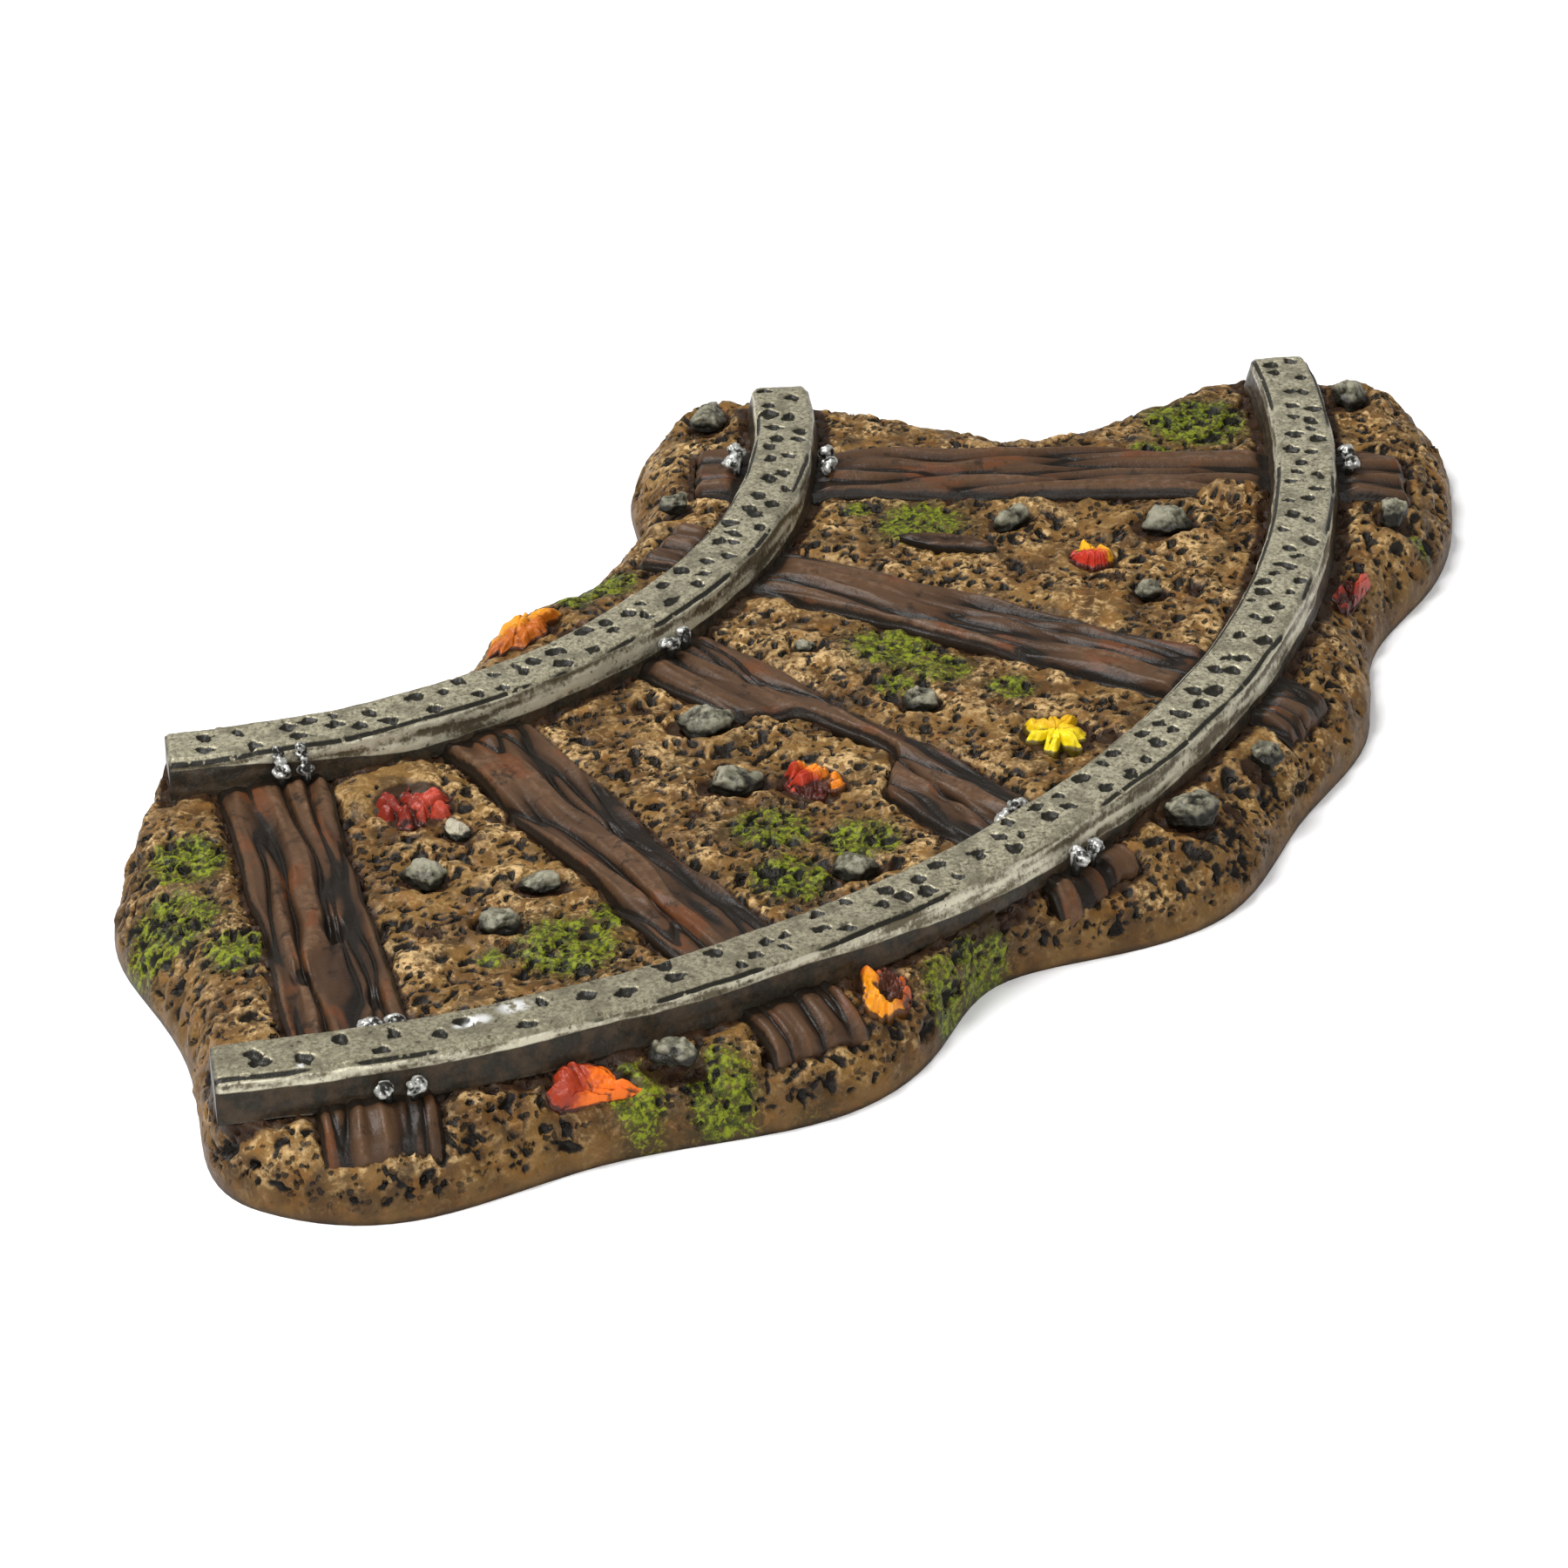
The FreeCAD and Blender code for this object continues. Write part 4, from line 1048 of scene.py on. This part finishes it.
def tie(name, seed):
    """One plank with wandering grain, knots, broken ends and saddles for the rails."""
    middle, direction, half_length, half_width = TIES[name]
    bm, u, v, t = slab(int(340 * QUALITY), int(84 * QUALITY), 5)
    spread = (2 * v - 1)
    end_seed = np.column_stack((spread * half_width, 0 * u, 0 * u))
    low_end = -half_length + 0.9 * MM * (0.5 + 0.5 * lumps(end_seed, 2.4, 3, seed))
    high_end = half_length - 0.9 * MM * (0.5 + 0.5 * lumps(end_seed, 2.4, 3, seed + 1))
    along = low_end + (high_end - low_end) * u
    low_edge, high_edge = tie_edges(name, along)
    across = low_edge + (high_edge - low_edge) * v
    bend = 1.1 * MM * lumps(np.column_stack((along, across * 0.3, 0 * u)), 16, 2, seed + 2)
    hollow = np.zeros(len(u))
    swirl = np.zeros(len(u))
    for a, b, radius, depth in KNOTS[name]:
        da, db = (along / MM - a) / 2.2, across / MM - b
        near = np.exp(-(da ** 2 + db ** 2) / radius ** 2)
        swirl = swirl + near * 1.3 * np.sign(db) * np.clip(np.abs(db), 0, 1)
        hollow = hollow + depth * smooth(np.hypot(da, db), 0.55 * radius, 0.15 * radius)
    lane = across + bend + swirl * MM
    wide = lumps(np.column_stack((along * 0.12, lane, 0 * u)), 3.4, 2, seed + 3)
    grain = lumps(np.column_stack((along * 0.08, lane, 0 * u)), 1.1, 2, seed + 4)
    chips = lumps(np.column_stack((along * 0.4, across, 0 * u)), 2.6, 3, seed + 5)
    split = smooth(np.abs(wide), 0.17, 0.02)
    ridges = np.minimum(np.abs(wide) / 0.42, 1) ** 0.7
    relief = 0.95 * (ridges - 0.6) + 0.25 * grain + 0.2 * chips - hollow
    edge = np.minimum(across - low_edge, high_edge - across)
    end = np.minimum(along - low_end, high_end - along)
    round_off = 0.9 * smooth(edge, 1.0 * MM, 0) ** 2 + 0.7 * smooth(end, 0.9 * MM, 0) ** 2
    x = middle.x + direction.x * along - direction.y * across
    y = middle.y + direction.y * along + direction.x * across
    stand = TIE_TOP - GROUND
    bank = bank_height(x, y)
    by_rail = smooth(rail_margin(x, y), 2.2 * MM, 0.2 * MM)
    relief = relief * (1 - 0.6 * by_rail) - 0.45 * by_rail
    top = np.minimum(TIE_TOP, bank + stand) + (relief - 0.35 - round_off) * MM
    under = smooth(rail_margin(x, y), -0.3 * MM, -0.7 * MM)
    top = top * (1 - under) + (RAIL_BOTTOM - 0.1 * MM) * under
    bottom = np.minimum(TIE_BOTTOM, bank - 1.5 * MM)
    height = top + (bottom - top) * t
    masks = {"ridge": np.clip(0.5 + 0.6 * relief, 0, 1), "edge": smooth(edge, 0.8 * MM, 0.1 * MM) + t,
             "split": np.maximum(split, smooth(hollow, 0.3, 0.8)),
             "gutter": smooth(rail_margin(x, y), 2.4 * MM, 0.6 * MM), "rust": 0.5 + 0.5 * chips}
    points = np.column_stack((x, y, height))
    return piece(name, as_mesh(name, bm, points), timber, [name], masks)


print("knots in each tie:", {name: len(spots) for name, spots in KNOTS.items()})

# %% [markdown]
# The planks are dark brown with a lighter brush on the ridges, a rusty stain here and there, and black in
# every split; the black along their edges and sides and beside the rails is partly painted shade.

# %% Dark brown timber
def timber_paint():
    p = Paint("timber")
    colour = p.layer(p.step(p.mask("ridge"), 0.2, 0.75), (0.028, 0.013, 0.006), (0.082, 0.042, 0.02))
    lit = p.times(p.step(p.mask("ridge"), 0.6, 0.85), p.step(p.noise(0.9, 3), 0.4, 0.65))
    colour = p.layer(lit, colour, (0.135, 0.076, 0.042))
    rust = p.times(p.step(p.plus(p.mask("rust"), p.noise(5, 3)), 1.1, 1.4), 0.65)
    colour = p.layer(rust, colour, (0.12, 0.036, 0.01))
    # Black in the splits and grain is wash; along the edges, sides and rails it is also painted shade where
    # the plank meets the ground and the rails.
    wash_and_shade = p.step(p.plus(p.mask("split"), p.times(p.noise(1.2, 3), 0.5)), 0.55, 1.0)
    wash_and_shade = p.most(wash_and_shade, p.step(p.mask("ridge"), 0.4, 0.1))
    wash_and_shade = p.most(wash_and_shade, p.step(p.plus(p.mask("edge"), p.times(p.noise(1.3, 3), 0.7)), 0.75, 1.15))
    wash_and_shade = p.most(wash_and_shade, p.step(p.plus(p.mask("gutter"), p.times(p.noise(1.3, 3), 0.7)), 0.85, 1.25))
    wash_and_shade = p.most(wash_and_shade, p.times(p.step(p.noise(2.6, 4, 0.7), 0.55, 0.7), 0.75))
    colour = p.layer(p.times(wash_and_shade, 0.92), colour, (0.007, 0.005, 0.003))
    rough = p.plus(0.3, p.times(p.noise(1.5, 3), 0.2))
    height = p.plus(p.times(p.noise(0.5, 3), 0.7), p.times(p.noise(0.22, 2), 0.3))
    return p.finish(colour, rough, height, 0.09, gloss=0.2)


timber = timber_paint()
for number, name in enumerate(TIE_NAMES):
    tie(name, 20 + 10 * number)
print("ties hewn:", len(TIE_NAMES))

# %% [markdown]
# ## Spikes
# Pairs of spikes hold the rails down at three of the ties.  On the casting they are daubs of silver on
# black, more lump than nail, so each spike is a short shank under a rough lumpy head.

# %% Spikes
BENT_OVER = "spikes_tie_1_inner_away"         # this pair has been hammered over the rail's edge
CLIMB = 1.5 * MM                              # how far it goes towards the rail, and how far up


def spike_pair(name, seed):
    """Two rough silver spikes where the model has a pair."""
    middle, direction, half_length, half_width = plan_axes(name)
    low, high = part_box(name)
    chooser = random.Random(seed)
    bm = bmesh.new()
    offset = direction * (half_length - half_width)
    for side in (-1, 1):
        spot = middle + side * offset
        foot = Matrix.Translation((spot.x, spot.y, (low.z + high.z) / 2))
        bmesh.ops.create_cone(bm, cap_ends=True, segments=14, radius1=0.45 * MM, radius2=0.5 * MM,
                              depth=high.z - low.z - 0.6 * MM, matrix=foot)
        count = chooser.choice((2, 3)) if name != BENT_OVER else 7
        towards_rail = (CENTRE - spot).normalized()
        towards_rail.z = 0
        for number in range(count):
            aside = [chooser.uniform(-0.5, 0.5), chooser.uniform(-0.5, 0.5), chooser.uniform(-0.5, 0)]
            scatter = Vector(aside) * MM
            size = [chooser.uniform(0.65, 1.0), chooser.uniform(0.6, 0.9), chooser.uniform(0.55, 0.8)]
            if name == BENT_OVER:
                climb = number / (count - 1)
                scatter = 0.15 * scatter + towards_rail * CLIMB * climb ** 0.6
                scatter = scatter + Vector((0, 0, CLIMB * climb))
                size = [0.62, 0.55, 0.5] if climb > 0 else [0.95, 0.8, 0.6]
            place = Matrix.Translation(Vector((spot.x, spot.y, high.z - 0.35 * MM)) + scatter)
            turn = Matrix.Rotation(chooser.uniform(0, 3), 4, "Z")
            shaped = place @ turn @ Matrix.Diagonal((*size, 1))
            bmesh.ops.create_icosphere(bm, subdivisions=4, radius=1.0 * MM, matrix=shaped)
    bmesh.ops.recalc_face_normals(bm, faces=bm.faces)
    points = np.array([vert.co[:] for vert in bm.verts])
    normals = np.array([vert.normal[:] for vert in bm.verts])
    rough = lumps(points, 1.1, 3, seed)
    fine = lumps(points, 0.55, 2, seed + 1)
    above = smooth(points[:, 2], high.z - 1.7 * MM, high.z - 1.2 * MM)
    points = points + normals * ((0.28 * rough + 0.16 * fine) * MM * above)[:, None]
    masks = {"raised": np.clip(0.5 + 0.6 * rough + 0.4 * fine, 0, 1) * above}
    return piece(name, as_mesh(name, bm, points), silver, [name], masks)


print("the pair that is bent over the rail:", BENT_OVER)

# %% [markdown]
# The heads were touched with bright silver over black, so only their raised lumps are silver and a little
# metallic, with near-white flecks on them as painted glints.

# %% Bright silver on the high spots
def silver_paint():
    p = Paint("silver")
    lit = p.step(p.plus(p.mask("raised"), p.times(p.noise(0.6, 3), 0.5)), 0.55, 0.9)
    colour = p.layer(lit, (0.012, 0.011, 0.009), (0.45, 0.45, 0.42))
    # Near-white flecks on the lit silver: painted glints.
    colour = p.layer(p.times(p.step(p.noise(0.5, 2), 0.55, 0.7), lit), colour, (0.9, 0.9, 0.88))
    return p.finish(colour, 0.28, p.noise(0.3, 3), 0.06, metallic=p.times(lit, 0.55))


silver = silver_paint()
SPIKE_NAMES = sorted(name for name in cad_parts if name.startswith("spikes_"))
for number, name in enumerate(SPIKE_NAMES):
    spike_pair(name, 300 + 3 * number)
print("pairs of spikes:", len(SPIKE_NAMES))

# %% [markdown]
# ## Stones
# Broken ballast has flat faces and worn edges.  A ball is cut by random planes, which gives the
# facets, and then softened with noise.

# %% Stones
PALE_STONE = "stone_04"
FACETS = 13


def stone(name, seed):
    """A broken stone that fills the space the model gives it."""
    middle, direction, half_length, half_width = PLAN_AXES[name]
    low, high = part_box(name)
    half_height = (high.z - low.z) / 2
    chooser = random.Random(seed)
    bm = bmesh.new()
    bmesh.ops.create_icosphere(bm, subdivisions=5, radius=1.0)
    rays = np.array([vert.co.normalized()[:] for vert in bm.verts])
    reach = np.full(len(rays), 1.12)
    for _ in range(FACETS):
        facing = Vector((chooser.gauss(0, 1), chooser.gauss(0, 1), chooser.gauss(0.15, 0.75))).normalized()
        meets = rays @ np.array(facing)
        cut = np.where(meets > 0.2, chooser.uniform(0.78, 0.95) / np.maximum(meets, 0.2), 9)
        reach = np.minimum(reach, cut)
    unit = rays * reach[:, None]
    unit = unit / np.abs(unit).max(0)
    points = unit * (half_length, half_width, half_height)
    rough = lumps(points, 2.6, 3, seed)
    fine = lumps(points, 0.9, 3, seed + 1)
    points = points + rays * ((0.38 * rough + 0.2 * fine) * MM)[:, None]
    x = middle.x + direction.x * points[:, 0] - direction.y * points[:, 1]
    y = middle.y + direction.y * points[:, 0] + direction.x * points[:, 1]
    z = (low.z + high.z) / 2 + points[:, 2]
    masks = {"raised": np.clip(0.5 + 0.35 * rough + 0.3 * fine, 0, 1),
             "skyward": smooth(unit[:, 2], 0.0, 0.75),
             "pale": np.full(len(x), 1.0 if name == PALE_STONE else 0.0)}
    return piece(name, as_mesh(name, bm, np.column_stack((x, y, z))), stony, [name], masks)


longest_stone = max(PLAN_AXES[name][2] for name in STONE_NAMES)
print(f"the longest stone is {2 * longest_stone / MM:.1f} mm long")

# %% [markdown]
# Stone is grey-green, with a painted highlight of paler grey on the raised parts that face the sky,
# and painted shade in black on its lower sides and round its foot.  One of the stones was painted cream.

# %% Grey stone
def stone_paint():
    p = Paint("stone")
    mottle = p.noise(1.3, 4, 0.65)
    colour = p.layer(p.step(mottle, 0.35, 0.65), (0.045, 0.042, 0.027), (0.13, 0.124, 0.085))
    # Painted highlight on the raised parts that face the sky, and painted shade on the sides that face down.
    light = p.times(p.mask("skyward"), p.step(p.plus(p.mask("raised"), p.noise(0.7, 3)), 0.85, 1.2))
    colour = p.layer(p.times(light, 0.8), colour, (0.29, 0.275, 0.2))
    shade = p.step(p.plus(p.mask("skyward"), p.times(p.mask("raised"), 0.6)), 0.85, 0.35)
    shade = p.most(shade, p.step(p.plus(p.mask("raised"), p.times(mottle, 0.4)), 0.58, 0.4))
    colour = p.layer(p.times(shade, 0.93), colour, (0.008, 0.007, 0.005))
    pale = p.layer(p.noise(1.2, 3), (0.25, 0.22, 0.15), (0.5, 0.46, 0.35))
    colour = p.layer(p.times(p.mask("pale"), p.step(p.mask("skyward"), 0.1, 0.5)), colour, pale)
    height = p.plus(p.times(p.noise(0.6, 3), 0.6), p.times(p.noise(0.25, 2), 0.4))
    return p.finish(colour, 0.42, height, 0.14, gloss=0.22)


stony = stone_paint()
for number, name in enumerate(STONE_NAMES):
    stone(name, 500 + 4 * number)
print("stones:", len(STONE_NAMES))

# %% [markdown]
# ## Leaves and bark
# Fallen leaves are modelled as thick pads with curled, veined tops.  A square slab is pressed into a
# disc, and its edge is drawn in and out by an outline that gives each leaf its lobes.

# %% A leaf: outline, veins and curl
LEAVES = {    # lobes, lobe depth, narrowness, turn, ragged edge, ridges, hollows, colours, direction
    "leaf_red_curled": (5, 0.25, 0.8, 0.3, 0.35, 1.0, 0.7, (0.2, 0.018, 0.008), (0.36, 0.04, 0.018), 0.0),
    "leaf_orange_bank": (6, 0.25, 0.8, 0.8, 0.3, 0.45, 0.2, (0.42, 0.1, 0.005), (0.66, 0.27, 0.01), 1.2),
    "leaf_orange_red": (5, 0.35, 1.2, 0.2, 0.35, 0.9, 0.5, (0.38, 0.03, 0.01), (0.72, 0.2, 0.006), 1.2),
    "leaf_yellow_maple": (7, 0.48, 1.2, 0.95, 0.3, 0.3, 0.1, (0.6, 0.34, 0.004), (0.78, 0.6, 0.008), 0.0),
    "leaf_flame": (4, 0.28, 1.0, 0.6, 0.35, 0.9, 0.5, (0.45, 0.028, 0.012), (0.8, 0.4, 0.006), 1.6),
    "leaf_red_edge": (2, 0.4, 1.0, 0.3, 0.25, 0.9, 0.7, (0.2, 0.018, 0.008), (0.38, 0.04, 0.018), 0.5),
    "leaf_orange_hook": (3, 0.3, 0.8, 2.4, 0.3, 0.9, 0.9, (0.42, 0.07, 0.006), (0.76, 0.27, 0.008), 0.3),
    "leaf_ember_folded": (3, 0.2, 1.0, 0.0, 0.15, 0.5, 0.1, (0.28, 0.028, 0.007), (0.78, 0.15, 0.006), 0.0)}


def leaf(name, seed):
    """A thick, ragged leaf inside the space the model gives it."""
    lobes, depth, narrow, turn, ragged, ridges, hollows, first, second, blend = LEAVES[name]
    middle, direction, half_length, half_width = PLAN_AXES[name]
    low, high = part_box(name)
    cells = int(96 * QUALITY)
    bm, u, v, t = slab(cells, cells, 3)
    a, b = 2 * u - 1, 2 * v - 1
    x = a * np.sqrt(1 - b * b / 2)
    y = b * np.sqrt(1 - a * a / 2)
    r, theta = np.hypot(x, y), np.arctan2(y, x)
    wave = np.abs(np.cos(lobes * (theta - turn) / 2)) ** narrow
    around = np.column_stack((np.cos(theta), np.sin(theta), 0 * r)) * 3 * MM
    outline = (1 - depth) + depth * wave + ragged * lumps(around, 1.7, 3, seed)
    along, across = x * outline * half_length * 1.08, y * outline * half_width * 1.08
    flat = np.column_stack((along, across, 0 * r))
    fold = lumps(flat, 3.4, 2, seed + 1)
    holes = hollows * smooth(lumps(flat, 3.0, 3, seed + 4), 0.1, 0.5)
    if name == "leaf_orange_hook":
        holes = np.maximum(holes, smooth(np.hypot(x + 0.05, y - 0.1), 0.5, 0.25))
    vein = np.abs(np.sin(lobes * (theta - turn) / 2)) * r
    crest = 0.6 * ridges * (2 * np.minimum(np.abs(fold) / 0.4, 1) - 1) + 0.2 * lumps(flat, 1.1, 3, seed + 2)
    crest = crest - 0.25 * smooth(vein, 0.12, 0.0) - 0.9 * holes
    px = middle.x + direction.x * along - direction.y * across
    py = middle.y + direction.y * along + direction.x * across
    px, py = kept_on_bank(px, py)
    bank = bank_height(px, py)
    crown = np.minimum(bank + (high.z - GROUND), high.z)
    top = crown - 0.25 * MM - 0.9 * MM * smooth(r, 0.6, 1.0) ** 2 + crest * MM * smooth(r, 1.02, 0.85)
    bottom = np.maximum(np.minimum(low.z, bank - 1.5 * MM), 0.3 * MM)
    height = top + (bottom - top) * t
    mixing = (x * math.cos(blend) + y * math.sin(blend)) * 0.5 + 0.5
    masks = {"crest": np.clip(0.5 + 0.6 * crest, 0, 1) * (1 - t), "rim": smooth(r, 0.82, 1.0) + t,
             "blend": mixing}
    points = np.column_stack((px, py, height))
    paint = leaf_paint(name, first, second)
    return piece(name, as_mesh(name, bm, points), paint, [name], masks)


print("lobes of each leaf:", {name: row[0] for name, row in LEAVES.items()})

# %% [markdown]
# Each leaf has two colours that meet along a ragged line, paler crests, and black in its creases and
# round its rim and sides, partly wash and partly painted shade.

# %% Leaf colours
def leaf_paint(name, first, second):
    p = Paint(name + "_paint")
    mix = p.step(p.plus(p.mask("blend"), p.times(p.noise(1.8, 3), 0.7)), 0.7, 1.0)
    colour = p.layer(mix, first, second)
    pale = tuple(min(1, 1.3 * c + 0.02) for c in second)
    colour = p.layer(p.times(p.step(p.mask("crest"), 0.6, 0.85), p.times(mix, 0.6)), colour, pale)
    # Black in the creases and round the rim and down the sides: partly wash, partly painted shade.
    hollow = p.step(p.plus(p.mask("crest"), p.times(p.noise(0.8, 3), 0.4)), 0.62, 0.42)
    dark = p.most(hollow, p.step(p.plus(p.mask("rim"), p.times(p.noise(0.9, 3), 0.5)), 0.9, 1.25))
    colour = p.layer(p.times(dark, 0.9), colour, (0.02, 0.008, 0.005))
    return p.finish(colour, 0.38, p.noise(0.5, 3), 0.1, gloss=0.3)


for number, name in enumerate(LEAF_NAMES):
    leaf(name, 700 + 5 * number)
print("leaves:", len(LEAF_NAMES))

# %% [markdown]
# The shard of bark is the smallest plank of all: a slab pressed into a long oval, with fine grain and
# the timber's own paint.

# %% The shard of bark
def bark(name, seed):
    """A long splinter of dark bark."""
    middle, direction, half_length, half_width = PLAN_AXES[name]
    low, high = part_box(name)
    bm, u, v, t = slab(int(130 * QUALITY), int(40 * QUALITY), 3)
    a, b = 2 * u - 1, 2 * v - 1
    x, y = a * np.sqrt(1 - b * b / 2), b * np.sqrt(1 - a * a / 2)
    along, across = x * half_length * 1.03, y * half_width
    flat = np.column_stack((along, across, 0 * x))
    across = across + 0.5 * MM * lumps(flat * (1, 0, 0), 5, 2, seed)
    grain = lumps(flat * (0.15, 1, 1), 0.9, 2, seed + 1)
    rough = lumps(flat, 2.5, 3, seed + 2)
    r = np.hypot(x, y)
    top = high.z - (0.5 * r ** 4 + 0.15) * MM + (0.25 * grain + 0.25 * rough) * MM * smooth(r, 1.02, 0.8)
    height = top + (low.z - top) * t
    px = middle.x + direction.x * along - direction.y * across
    py = middle.y + direction.y * along + direction.x * across
    masks = {"ridge": np.clip(0.45 + 0.4 * grain + 0.2 * rough, 0, 1), "edge": smooth(r, 0.8, 1.0) + t,
             "gutter": 0 * r, "split": 0 * r, "rust": 0.4 + 0.4 * rough}
    return piece(name, as_mesh(name, bm, np.column_stack((px, py, height))), timber, [name], masks)


bark("twig", 900)
print(f"the bark is {2 * PLAN_AXES['twig'][2] / MM:.1f} mm long")

# %% [markdown]
# ## Floor, light and camera
# A small painted thing is best seen on a pale floor under broad, soft light from above and in front,
# with just enough side light to draw its ridges.

# %% Stage
def plain_paint(name, colour, roughness):
    p = Paint(name)
    return p.finish((*colour, 1), roughness)


floor_bm = bmesh.new()
bmesh.ops.create_grid(floor_bm, x_segments=1, y_segments=1, size=3.0)
floor_mesh = as_mesh("floor", floor_bm)
floor_mesh.materials.append(plain_paint("floor_paper", (0.93, 0.93, 0.93), 0.9))
floor = bpy.data.objects.new("floor", floor_mesh)
bpy.context.scene.collection.objects.link(floor)

LOOK_AT = CENTRE + Vector((-21.5 * MM, -107 * MM, 11.5 * MM))
CAMERA_AT = LOOK_AT + Vector((-346.9 * MM, -252.0 * MM, 249.5 * MM))


def lamp(name, offset, size, power):
    """A square soft light that faces the object."""
    data = bpy.data.lights.new(name, "AREA")
    data.size = size
    data.energy = power
    made = bpy.data.objects.new(name, data)
    made.location = LOOK_AT + Vector(offset)
    made.rotation_euler = Vector(offset).to_track_quat("Z", "Y").to_euler()
    bpy.context.scene.collection.objects.link(made)


lamp("key", (-0.2, 0.3, 0.7), 0.4, 7.0)
lamp("front", (-0.6, -0.5, 0.5), 0.5, 4.0)
world = bpy.data.worlds.new("studio")
world.use_nodes = True
world.node_tree.nodes["Background"].inputs["Color"].default_value = (1, 1, 1, 1)
world.node_tree.nodes["Background"].inputs["Strength"].default_value = 0.42
bpy.context.scene.world = world
bpy.context.scene.view_settings.view_transform = "Standard"

camera_data = bpy.data.cameras.new("camera")
camera_data.lens = 116.7
camera_data.sensor_width = 36
camera = bpy.data.objects.new("camera", camera_data)
camera.location = CAMERA_AT
camera.rotation_euler = (CAMERA_AT - LOOK_AT).to_track_quat("Z", "Y").to_euler()
bpy.context.scene.collection.objects.link(camera)
bpy.context.scene.camera = camera
print("camera distance", round((CAMERA_AT - LOOK_AT).length, 3), "m")

# %% [markdown]
# The sculpted pieces should fill the model's space and no more.
